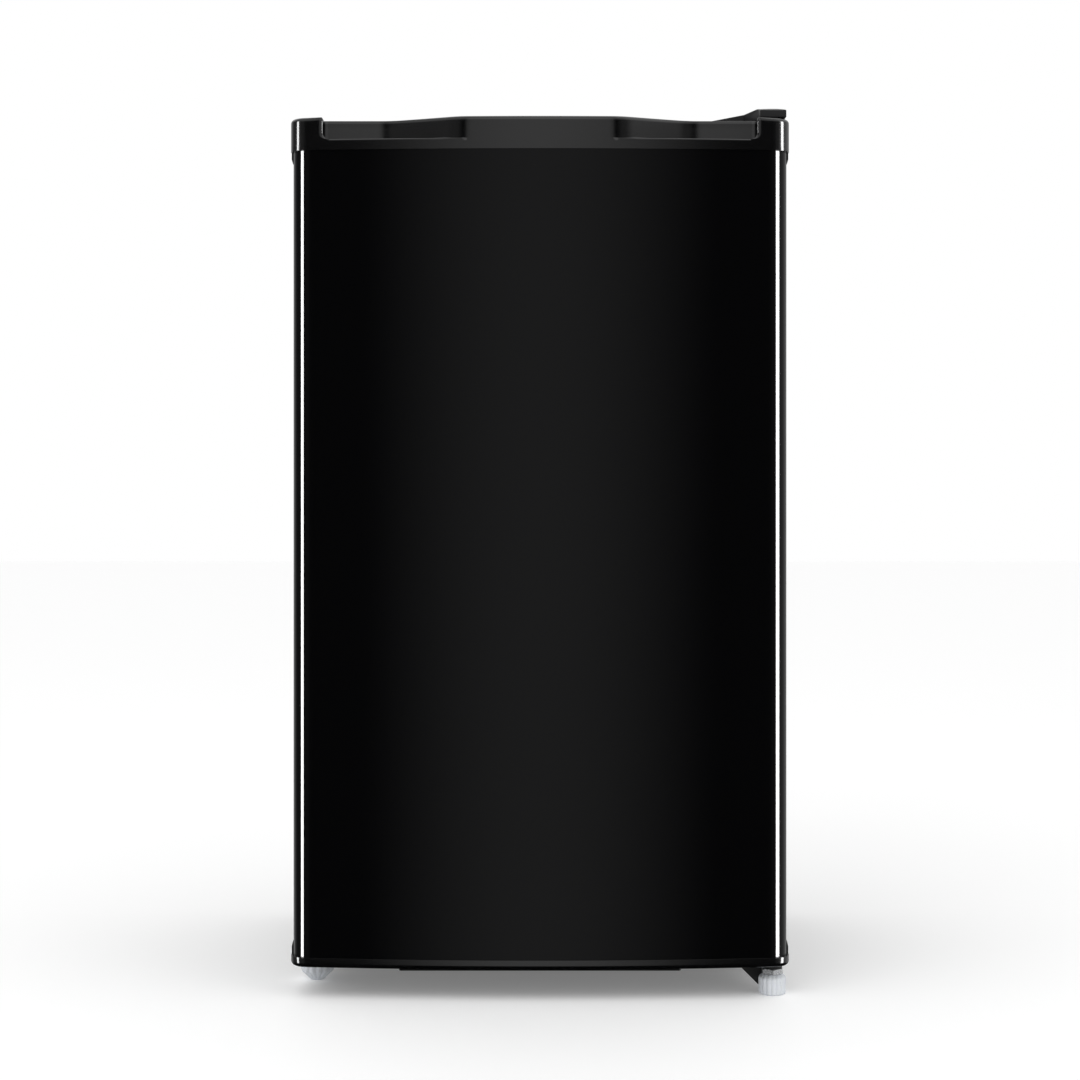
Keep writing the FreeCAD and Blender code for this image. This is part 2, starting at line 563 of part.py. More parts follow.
def door_top_cap():
    """End cap with the handle: scooped sides, a grip and a finger trough."""
    cap = cap_body("door_top_cap", "skin_high", "cap_high")
    cap.round("cap_edge_high", outer_edge("cap_high"))
    wall, knee = front_y("scoop_half", "scoop_deep"), front_y("scoop_bend", "scoop_deep")
    flush = front_y("grip_half", "-cap_front - scoop_over")
    turn = "(((scoop_bend - grip_half)^2 + scoop_deep^2) / (4 * scoop_deep))"
    half_x, half_y = "(scoop_bend + grip_half) / 2", f"({knee} + {flush}) / 2"
    ahead = "door_front - scoop_ahead"
    right = [("grip_half", ahead), ("scoop_half", ahead), ("scoop_half", wall),
             ("scoop_bend", knee, turn), (half_x, half_y, f"-{turn}"), ("grip_half", flush)]
    left = [("-scoop_half", ahead), ("-grip_half", ahead), ("-grip_half", flush, f"-{turn}"),
            (f"-({half_x})", half_y, turn), ("-scoop_bend", knee), ("-scoop_half", wall)]
    cap.pocket("XY", "scoop_low", "cap_high", left, right)
    cap.round("scoop_corner", lambda e: runs(e, "Y") and lies_at(e, "Z", "scoop_low"))
    ends = val("scoop_half")
    cap.round("scoop_edge", lambda e: runs(e, "Y") and lies_at(e, "Z", "cap_high")
              and abs(abs(e.BoundBox.XMin) - ends) < TOUCH)
    cap.pocket("XY", "trough_low", "cap_high",
               rounded("-trough_half", "trough_front", "trough_half", "trough_rear", "trough_corner"))
    floor, roof = "trough_low - cap_wall", "cap_high - cap_wall"
    cap_hollow(cap, "skin_high", floor)
    cap.pocket("XY", floor, roof,
               rectangle("-scoop_half", f"{wall} + cap_wall", "scoop_half", f"{CAP_REAR} - cap_wall"))
    hinge_holes(cap, "skin_high", "cap_high")
    cap_skirts(cap, "skin_high", "skin_high - skirt_down")


def door_bottom_cap():
    """Lower end cap with a shallow lip under its middle."""
    cap = cap_body("door_bottom_cap", "cap_low", "skin_low")
    cap.round("cap_edge_low", outer_edge("cap_low"))
    cap.pad("XY", "cap_low - lip_drop", "cap_low + cap_wall",
            rectangle("-lip_half", front_y("0", "lip_inset"), "lip_half", "lip_rear"))
    cap_hollow(cap, "cap_low + cap_wall", "skin_low")
    hinge_holes(cap, "cap_low - lip_drop", "skin_low")
    cap_skirts(cap, "skin_low", "skin_low + skirt_up")


def hinge_bushes():
    """Plain bushes in which the door turns on its two pins."""
    for node, low, tall in (("top_hinge_bush", "cap_high - bush_long", "bush_long"),
                            ("bottom_hinge_bush", "cap_low", "bush_tall")):
        outside = rod("Z", ("hinge_x", "hinge_y", low), tall, "bush_r")
        bore = rod("Z", ("hinge_x", "hinge_y", low), tall, "pin_r + run_gap")
        keep(node, cut(outside, bore))


def door_hole_plugs():
    """Plugs in the unused hinge holes on the door's left."""
    plugs = []
    for stem, head in (("cap_high - plug_deep", "cap_high"), ("cap_low", "cap_low - plug_head")):
        plugs.append(join(rod("Z", ("-hinge_x", "hinge_y", stem), "plug_deep", "bush_r"),
                          rod("Z", ("-hinge_x", "hinge_y", head), "plug_head", "boss_r")))
    keep("door_hole_plugs", group(*plugs))


def door_bin(node, floor, tall):
    """Open bin whose end hooks hang on the dike lugs."""
    box = Piece(node)
    box.pad("XY", floor, f"{floor} + {tall}", rectangle("-bin_half", "bin_rear", "bin_half", "bin_front"))
    box.round("bin_round", lambda e: runs(e, "Z"))
    box.round("bin_round - bin_wall", lambda e: lies_at(e, "Z", floor))
    box.hollow("bin_wall", lambda f: lies_at(f, "Z", f"{floor} + {tall}"))
    slot_rear, slot_front = "lug_rear - hook_gap", "lug_front + hook_gap"
    rear, front = f"{slot_rear} - hook_w", f"{slot_front} + hook_w"
    foot, under = f"{floor} + lug_top - lug_tall", f"{floor} + lug_top + hook_gap"
    top = f"{under} + hook_w"
    hook = [(rear, foot), (slot_rear, foot), (slot_rear, under), (slot_front, under),
            (slot_front, foot), (front, foot), (front, top), (rear, top)]
    for low, high in both("bin_half - bin_wall / 2", "bin_half + hook_t"):
        box.pad("YZ", low, high, hook)


# ---------------------------------------------------------------- hinges and feet

LOW_PLATE = "(cab_low - plate_t)"


def hinge_plate_plan(inner, rear):
    """Plate outline: a rectangle over the cabinet that runs forward to a round end at the pin."""
    left, right = "hinge_x - plate_end", "hinge_x + plate_end"
    return [(inner, rear), (inner, "plate_front"), (f"{left} - neck_flare", "neck_rear"),
            (left, "neck_front"), (left, "hinge_y", "plate_end"),
            ("hinge_x", "hinge_y - plate_end", "plate_end"), (right, "hinge_y"), (right, rear)]


def hinge_screw_places(inner, rear):
    """Where a hinge plate is screwed to the cabinet."""
    for across in (f"{inner} + screw_in", "plate_side - screw_out"):
        for back in ("screw_front", f"{rear} - screw_rear"):
            yield across, back


def hinge_brackets():
    """Upper and lower steel plates that carry the hinge pins, the lower one with a web."""
    for node, low, inner, rear in (("top_hinge_bracket", "cab_top", "top_plate_in", "top_plate_rear"),
                                   ("bottom_hinge_bracket", LOW_PLATE, "low_plate_in", "low_plate_rear")):
        plate = Piece(node)
        plate.pad("XY", low, f"{low} + plate_t", hinge_plate_plan(inner, rear))
        plate.pocket("XY", low, f"{low} + plate_t", [("hinge_x", "hinge_y", "pin_r")])
        if low == LOW_PLATE:
            web = [("gusset_in", low), ("plate_side", low), ("plate_side", "gusset_low"),
                   (f"gusset_in + {low} - gusset_low", "gusset_low")]
            plate.pad("XZ", "gusset_y", "gusset_y + gusset_t", web)


def hinge_pins():
    """Upper pin with a flat head, and the lower bolt that also carries the right foot."""
    x, y = "hinge_x", "hinge_y"
    head = "(cab_top + plate_t)"
    keep("top_hinge_pin", join(rod("Z", (x, y, "top_pin_low"), f"{head} - top_pin_low", "pin_r"),
                               rod("Z", (x, y, head), "pin_head_t", "pin_head_r")))
    keep("bottom_hinge_pin", join(rod("Z", (x, y, "stud_low"), f"{LOW_PLATE} - stud_low", "stud_r"),
                                  rod("Z", (x, y, LOW_PLATE), f"low_pin_high - {LOW_PLATE}", "pin_r")))


def top_hinge_cover():
    """Black cap over the upper hinge: a wedge that rises outwards, with a sloping nose over the pin."""
    cover = Piece("top_hinge_cover")
    side, high, deep = "cover_out", "cover_high", "cover_wall"
    ridge = [("brow_x", "brow_high"), ("rise_x", "rise_high"), ("heel_x", "heel_high")]
    cover.pad("XZ", "nose_front", "cover_rear",
              [("cover_in", "cab_top"), (side, "cab_top"), (side, f"{high} - cover_chamfer"),
               (f"{side} - cover_chamfer", high), ("crest_x", high), *ridge, ("cover_in", "toe_high")])
    cover.pocket("XY", "cab_top", high,
                 [("cover_in", "nose_front"), ("nose_in", "nose_front"), ("nose_in", "nose_root"),
                  ("nose_in - nose_flare", "cover_front"), ("cover_in", "cover_front")])
    cover.pocket("YZ", "nose_in - nose_flare", side,
                 [("nose_front", "nose_high"), ("nose_crest", high), ("nose_front", high)])
    inner = [(x, f"{z} - {deep}") for x, z in ridge]
    cover.pocket("XZ", f"cover_front + {deep}", f"cover_rear - {deep}",
                 [("heel_x", "cab_top"), (f"{side} - {deep}", "cab_top"),
                  (f"{side} - {deep}", f"{high} - cover_chamfer - {deep} / 2"),
                  (f"{side} - cover_chamfer - {deep} / 2", f"{high} - {deep}"),
                  ("crest_x", f"{high} - {deep}"), *inner])
    cover.pocket("XY", "cab_top", "cab_top + plate_t + pin_head_t + head_gap",
                 [(f"nose_in + {deep}", f"nose_front + {deep}"), (f"{side} - {deep}", f"nose_front + {deep}"),
                  (f"{side} - {deep}", f"cover_front + {deep}"),
                  (f"nose_in - nose_flare + {deep}", f"cover_front + {deep}"),
                  (f"nose_in + {deep}", "nose_root")])


def hinge_screws():
    """Pan-head screws that hold both hinge plates."""
    screws = []
    for inner, rear, seat in (("top_plate_in", "top_plate_rear", "cab_top + plate_t"),
                              ("low_plate_in", "low_plate_rear", f"{LOW_PLATE} - screw_head_t")):
        for x, y in hinge_screw_places(inner, rear):
            screws.append(rod("Z", (x, y, seat), "screw_head_t", "screw_head_r"))
    keep("hinge_screws", group(*screws))


def cabinet_hole_plugs():
    """Caps over the unused hinge holes on the cabinet's left."""
    plugs = [rod("Z", (f"-({x})", y, "cab_top"), "hole_cap_t", "screw_head_r")
             for x, y in hinge_screw_places("top_plate_in", "top_plate_rear")]
    keep("cabinet_hole_plugs", group(*plugs))


def fluted(foot, x, y, radius, low, high):
    """Cut shallow flutes all round a foot."""
    flutes = []
    reach = f"({radius} + flute_out)"
    for turn in range(FLUTES):
        angle = 360 * turn / FLUTES
        place = (f"{x} + {reach} * cos({angle})", f"{y} + {reach} * sin({angle})", low)
        flutes.append(rod("Z", place, f"({high}) - ({low})", "flute_r"))
    return cut(foot, *flutes)


def front_feet():
    """Two light grey levelling feet that screw up and down on their bolts."""
    x, y, shoulder = "hinge_x", "hinge_y", "foot_tall - foot_shoulder"
    solid = join(rod("Z", (x, y, "0"), shoulder, "foot_r"),
                 rod("Z", (x, y, shoulder), "foot_shoulder", "foot_r", "foot_r - foot_shoulder"))
    bore = rod("Z", (x, y, "foot_floor"), "foot_tall", "stud_r + run_gap")
    keep("right_front_foot", cut(fluted(solid, x, y, "foot_r", "flute_low", "foot_tall"), bore))
    x, y = "left_foot_x", "left_foot_y"
    solid = join(rod("Z", (x, y, "0"), "left_foot_cone", "left_foot_tip", "left_foot_r"),
                 rod("Z", (x, y, "left_foot_cone"), "left_foot_tall - left_foot_cone", "left_foot_r"))
    bore = rod("Z", (x, y, "foot_floor"), "left_foot_tall", "stud_r + run_gap")
    keep("left_front_foot",
         cut(fluted(solid, x, y, "left_foot_r", "left_flute_low", "left_foot_tall"), bore))


def foot_hardware():
    """Lock nuts on both front bolts, and the left bolt itself."""
    nuts = []
    for x, y, top in (("hinge_x", "hinge_y", "foot_tall"), ("left_foot_x", "left_foot_y", "left_foot_tall")):
        nuts.append(cut(hexagon((x, y, f"{top} + nut_gap"), "nut_t", "nut_r"),
                        rod("Z", (x, y, top), "2 * nut_t", "stud_r")))
    keep("foot_nuts", group(*nuts))
    keep("left_foot_bolt",
         rod("Z", ("left_foot_x", "left_foot_y", "stud_low"), "cab_low - stud_low", "stud_r"))


def rear_feet():
    """Two fixed feet under the ends of the compressor rail."""
    feet = [rod("Z", (x, "rear_foot_y", "0"), "cab_low", "rear_foot_tip", "rear_foot_r")
            for x in ("-rear_foot_x", "rear_foot_x")]
    keep("rear_feet", group(*feet))


# ---------------------------------------------------------------- inside the cabinet

def freezer_box():
    """Rolled aluminium evaporator with its plastic front frame."""
    box = Piece("evaporator")
    box.pad("XZ", "evap_front", "evap_rear", rectangle("-evap_half", "evap_low", "evap_half", "evap_high"))
    box.round("evap_corner", lambda e: runs(e, "Y"))
    inner = "evap_half - evap_t"
    box.pocket("XZ", "evap_front - 1", "evap_rear - evap_t",
               rounded(f"-({inner})", "evap_low + evap_t", inner, "evap_high - evap_t",
                       "(evap_corner - evap_t)"))
    for low, high in both("hanger_in", "hanger_out"):
        for front in ("hanger_front", "hanger_back"):
            box.pad("XY", "evap_high - evap_t / 2", "cav_high",
                    rectangle(low, front, high, f"{front} + hanger_deep"))

    frame = Piece("freezer_frame")
    frame.pad("XZ", "frame_front", "evap_front",
              rounded("-frame_half", "frame_low", "frame_half", "frame_high", "frame_corner"),
              rounded("-frame_half + frame_rim", "frame_low + frame_rim", "frame_half - frame_rim",
                      "frame_high - frame_rim", "frame_corner"))
    for low, high in both("ear_in", "ear_in + ear_t"):
        frame.pad("XZ", "ear_front", "evap_front", rectangle(low, "ear_low", high, "frame_high"))
    for low, high in both("flap_pin_in", "ear_in + ear_t / 2"):
        frame.pad("YZ", low, high, [("flap_pin_y", "flap_pin_z", "flap_pin_r")])


def freezer_flap():
    """Door of the freezer box, hung on two pins at its top edge."""
    flap = Piece("freezer_flap")
    flap.pad("XZ", "flap_front", "flap_front + flap_t",
             rectangle("-flap_half", "flap_low", "flap_half", "flap_high"))
    flap.round("flap_corner", lambda e: runs(e, "Y") and lies_at(e, "Z", "flap_low"))
    flap.round("flap_edge", lambda e: runs(e, "X") and lies_at(e, "Z", "flap_high"))
    for low, high in both("flap_pin_in - 1", "flap_half + 1"):
        flap.pocket("YZ", low, high, [("flap_pin_y", "flap_pin_z", "flap_pin_r + run_gap")])
    flap.pocket("XZ", "flap_front", "flap_front + slot_deep",
                rounded("-slot_half", "slot_low", "slot_half", "slot_high", "flap_corner"))


def drip_tray():
    """Shallow tray that slides on the two rails under the freezer box."""
    tray = Piece("drip_tray")
    tray.pad("XY", "tray_low", "tray_high", rectangle("-tray_half", "tray_front", "tray_half", "tray_rear"))
    tray.round("tray_corner", lambda e: runs(e, "Z"))
    tray.hollow("tray_wall", lambda f: lies_at(f, "Z", "tray_high"))
    ledge = "rail_low + rail_t + shelf_gap"
    for low, high in both("tray_half - tray_wall / 2", "rail_out - rail_t - tray_play"):
        tray.pad("XY", ledge, f"{ledge} + tray_wall",
                 rectangle(low, "tray_front + tray_inset", high, "tray_rear - tray_inset"))

    rails = []
    along = ("runner_front", "tray_rear")
    for wall, foot in zip(both("rail_out - rail_t", "rail_out"), both("rail_in", "rail_out")):
        rails.append(join(block(wall, along, ("rail_low", "evap_low")),
                          block(foot, along, ("rail_low", "rail_low + rail_t"))))
    keep("drip_tray_rails", group(*rails))


def glass_shelf(node, level):
    """Glass shelf with plastic trims along its front and rear edges."""
    low = f"(ledge_low + {level} * ledge_step + shelf_gap)"
    high = f"({low} + glass_t)"
    pane = ("shelf_front + glass_inset", "shelf_rear - glass_inset")
    keep(node + "_glass", block(("-shelf_half", "shelf_half"), pane, (low, high)))
    trims = []
    side = "(shelf_half - ledge_w - trim_gap)"
    for strip in (("shelf_front", "shelf_front + trim_w"), ("shelf_rear - trim_w", "shelf_rear")):
        rail = block((f"-{side}", side), strip, (f"{high} + trim_rise - trim_t", f"{high} + trim_rise"))
        trims.append(cut(rail, block(("-shelf_half", "shelf_half"), pane, (low, high))))
    keep(node + "_trim", group(*trims))


def thermostat():
    """Control housing on the right wall, its switch, and the dial on its shaft."""
    x, y, z = "stat_in", "knob_y", "knob_z"
    housing = Piece("thermostat_housing")
    housing.pad("YZ", x, "cav_half",
                rounded("stat_front", "stat_low", "stat_rear", "stat_high", "stat_corner"))
    housing.pocket("YZ", f"{x} + stat_wall", "cav_half",
                   rounded("stat_front + stat_wall", "stat_low + stat_wall", "stat_rear - stat_wall",
                           "stat_high - stat_wall", "(stat_corner - stat_wall)"))
    housing.pocket("YZ", x, f"{x} + stat_wall", [(y, z, "shaft_r + run_gap")])
    around = [(f"{place} - switch_half", f"{place} + switch_half") for place in (y, z)]
    keep("thermostat_switch", block(("switch_in", "cav_half"), *around))
    face, back = f"{x} - knob_gap - knob_t", f"{x} - knob_gap"
    dial = rod("X", (face, y, z), "knob_t", "knob_r - knob_taper", "knob_r")
    shaft = rod("X", (f"{back} - 1", y, z), "knob_gap + shaft_in + 1", "shaft_r")
    fin = block((f"{face} - fin_rise", f"{back} - 1"), (f"{y} - fin_half", f"{y} + fin_half"),
                (f"{z} - fin_reach", f"{z} + fin_reach"))
    keep("thermostat_knob", join(dial, shaft, fin))


# ---------------------------------------------------------------- compressor bay and rear

def compressor_rail():
    """Steel tray across the bay that carries the compressor."""
    rail = Piece("compressor_rail")
    side = "cab_half - shell_t"
    front, rear, low, lip = "rail_front", "rail_rear", "cab_low", "cab_low + rail_lip"
    plate = "cab_low + rail_plate"
    rail.pad("YZ", f"-({side})", side,
             [(front, low), (rear, low), (rear, lip), (f"{rear} - rail_lip_t", lip),
              (f"{rear} - rail_lip_t", plate), (f"{front} + rail_lip_t", plate),
              (f"{front} + rail_lip_t", lip), (front, lip)])


def compressor_shell(node, low, high, open_at):
    """One pressed half of the sealed shell."""
    half = Piece(node)
    front, rear = "comp_y - comp_deep", "comp_y + comp_deep"
    half.pad("XY", low, high, rounded("-comp_half", front, "comp_half", rear, "comp_round"))
    closed = low if open_at == high else high
    half.round("comp_edge", lambda e: lies_at(e, "Z", closed))
    half.hollow("comp_wall", lambda f: lies_at(f, "Z", open_at))


def compressor():
    """Sealed compressor on four rubber mounts."""
    compressor_shell("compressor_lower_shell", "comp_low", "comp_mid", "comp_mid")
    compressor_shell("compressor_upper_shell", "comp_mid", "comp_high", "comp_mid")
    stator = rod("Z", ("0", "comp_y", "stator_low"), "stator_tall", "stator_r")
    cylinder = rod("X", ("-cylinder_half", "comp_y", "cylinder_z"), "2 * cylinder_half", "cylinder_r")
    casting = block(("-casting_half", "casting_half"), ("comp_y - casting_deep", "comp_y + casting_deep"),
                    ("casting_low", "casting_low + casting_tall"))
    keep("compressor_pump", join(stator, cylinder, casting))

    front, rear = "comp_y - comp_bolt_y", "comp_y + comp_bolt_y"
    places = [(x, y) for x in ("-comp_bolt_x", "comp_bolt_x") for y in (front, rear)]
    tabs = Piece("compressor_feet")
    tabs.pad("XY", "comp_low - tab_t", "comp_low",
             rounded("-comp_bolt_x - tab_reach", f"{front} - tab_reach", "comp_bolt_x + tab_reach",
                     f"{rear} + tab_reach", "tab_corner"),
             *[[(x, y, "bolt_r + bolt_gap")] for x, y in places])
    seat = "(cab_low + rail_plate)"
    grommets = [cut(rod("Z", (x, y, seat), f"comp_low - tab_t - {seat}", "grommet_r"),
                    rod("Z", (x, y, seat), "comp_low", "bolt_r + bolt_gap")) for x, y in places]
    keep("compressor_grommets", group(*grommets))
    bolts = [join(rod("Z", (x, y, seat), f"comp_low + bolt_over - {seat}", "bolt_r"),
                  hexagon((x, y, "comp_low"), "bolt_head_t", "bolt_head_r")) for x, y in places]
    keep("compressor_bolts", group(*bolts))

    cover = Piece("terminal_cover")
    cover.pad("YZ", "comp_half", "comp_half + cup_half",
              rounded("comp_y - cup_half", "cup_low", "comp_y + cup_half", "cup_high", "cup_corner"))
    cover.hollow("cup_wall", lambda f: lies_at(f, "X", "comp_half"))


def condenser():
    """Bent pipe across the rear, with upright wires welded to both sides of it."""
    top = f"(coil_low + {COIL_PASSES - 1} * coil_step)"
    route = [("pipe_left", "coil_y", "joint_z"), ("pipe_left", "coil_y", "coil_low")]
    for turn in range(COIL_PASSES - 1):
        end = "coil_half" if turn % 2 == 0 else "-coil_half"
        for level in (turn, turn + 1):
            route.append((end, "coil_y", f"coil_low + {level} * coil_step"))
    route += [("drier_x", "coil_y", top), ("drier_x", "coil_y", "drier_high")]
    tube("condenser_tube", "coil_r", "coil_bend", route)

    wires = []
    for side in ("-", "+"):
        for step in range(WIRES):
            place = (f"-wire_half + {step} * wire_step", f"coil_y {side} (coil_r + wire_r)",
                     "coil_low - wire_over")
            wires.append(rod("Z", place, f"{top} - coil_low + 2 * wire_over", "wire_r"))
    keep("condenser_wires", group(*wires))

    brackets = []
    for turn in BRACKET_PASSES:
        level = f"(coil_low + {turn} * coil_step)"
        for low, high in both("bracket_in", "bracket_out"):
            arm = block((low, high), ("cab_back", "wall_y"),
                        (f"{level} - bracket_half", f"{level} + bracket_half"))
            brackets.append(cut(arm, rod("X", (low, "coil_y", level), "bracket_out - bracket_in", "coil_r")))
    keep("condenser_brackets", group(*brackets))


def pipes():
    """Filter drier and the two pipes between the compressor and the rest."""
    x, y = "drier_x", "coil_y"
    low, high = "(drier_low + drier_taper)", "(drier_high - drier_taper)"
    drier = join(rod("Z", (x, y, "drier_low"), "drier_taper", "coil_r", "drier_r"),
                 rod("Z", (x, y, low), f"{high} - {low}", "drier_r"),
                 rod("Z", (x, y, high), "drier_taper", "drier_r", "coil_r"))
    keep("filter_drier", drier)
    tube("discharge_tube", "coil_r", "pipe_bend",
         [("-comp_half", "port_y", "discharge_z"), ("pipe_left", "port_y", "discharge_z"),
          ("pipe_left", "coil_y", "discharge_z"), ("pipe_left", "coil_y", "joint_z")])
    tube("suction_tube", "pipe_r", "suction_bend",
         [("comp_half", "port_y", "suction_z"), ("pipe_right", "port_y", "suction_z"),
          ("pipe_right", "suction_y", "suction_z"), ("pipe_right", "suction_y", "suction_top"),
          ("pipe_right", "cab_back", "suction_top")])


def drip_pan():
    """Open pan over the compressor and the drain that runs into it."""
    pan = Piece("drip_pan")
    pan.pad("XY", "drip_low", "drip_high", rectangle("-pan_half", "pan_front", "pan_half", "pan_rear"))
    pan.round("pan_corner", lambda e: runs(e, "Z"))
    pan.hollow("drip_wall", lambda f: lies_at(f, "Z", "drip_high"))
    place, tall = ("0", "drain_y", "drain_low"), "hump_high - liner_t - drain_low"
    keep("drain_tube", cut(rod("Z", place, tall, "drain_r"), rod("Z", place, tall, "drain_bore")))


def cord_gland():
    """Empty strain relief through which the mains lead leaves the rear panel."""
    x, y, z = "gland_x", "cab_back", "gland_z"
    body = join(rod("Y", (x, y, z), "gland_flange", "gland_r"),
                rod("Y", (x, f"{y} + gland_flange", z), "gland_long", "gland_neck", "gland_tip"))
    keep("cord_gland", cut(body, rod("Y", (x, y, z), "gland_flange + gland_long", "gland_bore")))


def stop_on(faults):
    """End the build with every fault of one kind."""
    if faults:
        raise RuntimeError("\n".join(faults))


def title(thing):
    """An object's name and the sub-part it belongs to."""
    owner = thing.getParentGeoFeatureGroup()
    return f"{thing.Name} of {owner.Label if owner else thing.Label}"


outer_shell()
base_pan()
cabinet_foam()
inner_liner()
rear_panel()
door_skin()
door_foam()
door_liner()
door_gasket()
door_top_cap()
door_bottom_cap()
hinge_bushes()
door_hole_plugs()
door_bin("bin_lower", "bin_low_z", "bin_low_tall")
door_bin("bin_middle", "bin_mid_z", "bin_mid_tall")
door_bin("bin_upper", "bin_top_z", "bin_top_tall")
hinge_brackets()
hinge_pins()
top_hinge_cover()
hinge_screws()
cabinet_hole_plugs()
front_feet()
foot_hardware()
rear_feet()
freezer_box()
freezer_flap()
drip_tray()
glass_shelf("lower_shelf", 0)
glass_shelf("upper_shelf", 2)
thermostat()
compressor_rail()
compressor()
condenser()
pipes()
drip_pan()
cord_gland()

doc.recompute()
stop_on([f"{title(t)} failed" for t in doc.Objects if {"Invalid", "Error"} & set(t.State)])
stop_on([f"{t.Label} has no valid shape" for t in NODES
         if t.Shape.isNull() or not t.Shape.isValid() or not t.Shape.Solids])
stop_on([f"{title(t)} cuts nothing" for t in doc.Objects
         if t.TypeId == "PartDesign::Pocket" and t.Shape.Volume > t.BaseFeature.Shape.Volume - TOUCH])

os.makedirs("parts", exist_ok=True)
for thing in NODES:
    thing.Shape.exportStep(f"parts/{thing.Label}.step")
print(len(NODES), "sub-parts written")
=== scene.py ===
import json
import math
import bmesh
import bpy
from mathutils import Matrix, Vector


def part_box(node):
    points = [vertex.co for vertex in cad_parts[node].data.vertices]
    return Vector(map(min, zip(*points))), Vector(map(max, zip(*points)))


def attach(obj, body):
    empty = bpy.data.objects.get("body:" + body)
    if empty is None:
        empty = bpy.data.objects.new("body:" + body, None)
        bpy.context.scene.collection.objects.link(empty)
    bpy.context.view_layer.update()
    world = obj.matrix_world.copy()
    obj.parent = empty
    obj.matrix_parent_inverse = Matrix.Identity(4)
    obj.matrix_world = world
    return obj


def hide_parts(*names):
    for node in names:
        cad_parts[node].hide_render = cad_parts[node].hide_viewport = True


# Looks of the mini fridge: a black curved door with satin end caps, a white interior, a
# galvanised rear with a black condenser, and light grey levelling feet. Metres throughout.

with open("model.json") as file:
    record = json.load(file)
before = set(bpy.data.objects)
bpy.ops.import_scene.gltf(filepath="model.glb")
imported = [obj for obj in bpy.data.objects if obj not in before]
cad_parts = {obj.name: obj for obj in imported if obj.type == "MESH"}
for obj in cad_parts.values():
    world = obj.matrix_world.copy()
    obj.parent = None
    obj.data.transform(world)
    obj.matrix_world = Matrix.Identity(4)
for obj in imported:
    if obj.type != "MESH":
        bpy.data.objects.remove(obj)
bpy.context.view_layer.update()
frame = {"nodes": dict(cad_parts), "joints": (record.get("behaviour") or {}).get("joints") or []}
nodes = frame["nodes"]
MM = 0.001


# ---------------------------------------------------------------- places read from the frame

def span(node):
    """Lowest and highest corner of a CAD node."""
    low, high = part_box(node)
    return Vector(low), Vector(high)


def joint(name):
    """Where a joint's axis is."""
    return Vector(next(j["pos_m"] for j in frame["joints"] if j["name"] == name))


skin_low, skin_high = span("door_skin")
cap_low, cap_high = span("door_top_cap")
base_low, base_high = span("door_bottom_cap")
# The door in plan: half its width, its foremost line, and the rise and radius of its front arc
HALF = skin_high.x
FRONT = skin_low.y
BULGE = 13 * MM
ARC = (HALF ** 2 + BULGE ** 2) / (2 * BULGE)
CORNER = 20 * MM
PANEL_REAR = skin_high.y - 1.5 * MM
# The end caps' corner radius, and how far they stand out past the sheet
CAP_CORNER = 17 * MM
CAP_SIDE = 2 * MM
CAP_FRONT = 1 * MM
hinge = joint("door_hinge")


# ---------------------------------------------------------------- materials

# Nearly all values of a noise texture lie between these two
NOISE_LOW, NOISE_HIGH = 0.3, 0.7


class Surface:
    """A Principled material whose detail comes from noise in the object's own space."""

    def __init__(self, name, color, rough, **sockets):
        self.material = bpy.data.materials.new(name)
        self.material.use_nodes = True
        self.tree = self.material.node_tree
        self.shader = self.tree.nodes["Principled BSDF"]
        self.shader.inputs["Base Color"].default_value = (*color, 1)
        self.shader.inputs["Roughness"].default_value = rough
        for socket, value in sockets.items():
            self.shader.inputs[socket.replace("_", " ")].default_value = value
        self.place = self.tree.nodes.new("ShaderNodeTexCoord").outputs["Object"]
        self.bumped = None

    def add(self, kind, **values):
        node = self.tree.nodes.new("ShaderNode" + kind)
        for key, value in values.items():
            key = key.replace("_", " ")
            if key in node.inputs:
                node.inputs[key].default_value = value
            else:
                setattr(node, key.replace(" ", "_"), value)
        return node

    def link(self, source, target):
        self.tree.links.new(source, target)

    def stretched(self, scale):
        """The object's space scaled along each axis."""
        mapping = self.add("Mapping", Scale=scale)
        self.link(self.place, mapping.inputs["Vector"])
        return mapping.outputs["Vector"]

    def noise(self, scale, detail=3.0, stretch=None):
        node = self.add("TexNoise", Scale=scale, Detail=detail)
        self.link(self.stretched(stretch) if stretch else self.place, node.inputs["Vector"])
        return node.outputs["Fac"]

    def ranged(self, source, low, high):
        """A noise value spread between two numbers."""
        node = self.add("MapRange")
        for socket, value in (("From Min", NOISE_LOW), ("From Max", NOISE_HIGH),
                              ("To Min", low), ("To Max", high)):
            node.inputs[socket].default_value = value
        self.link(source, node.inputs["Value"])
        return node.outputs["Result"]

    def tint(self, source, first, second):
        """Base colour between two colours."""
        mix = self.add("Mix", data_type="RGBA")
        mix.inputs["A"].default_value = (*first, 1)
        mix.inputs["B"].default_value = (*second, 1)
        self.link(source, mix.inputs["Factor"])
        self.link(mix.outputs["Result"], self.shader.inputs["Base Color"])
        return self

    def rough(self, source, low, high):
        self.link(self.ranged(source, low, high), self.shader.inputs["Roughness"])
        return self

    def bump(self, source, height):
        """Raise the surface by a height in metres; later calls add to earlier ones."""
        node = self.add("Bump", Strength=1.0, Distance=height)
        self.link(source, node.inputs["Height"])
        if self.bumped:
            self.link(self.bumped, node.inputs["Normal"])
        self.bumped = node.outputs["Normal"]
        self.link(self.bumped, self.shader.inputs["Normal"])
        return self


def gloss_paint():
    s = Surface("gloss_black_paint", (0.0016, 0.0016, 0.0018), 0.05, Specular_IOR_Level=0.25)
    s.rough(s.noise(9, 4), 0.04, 0.06)
    return s.bump(s.noise(90, 2), 0.002 * MM)


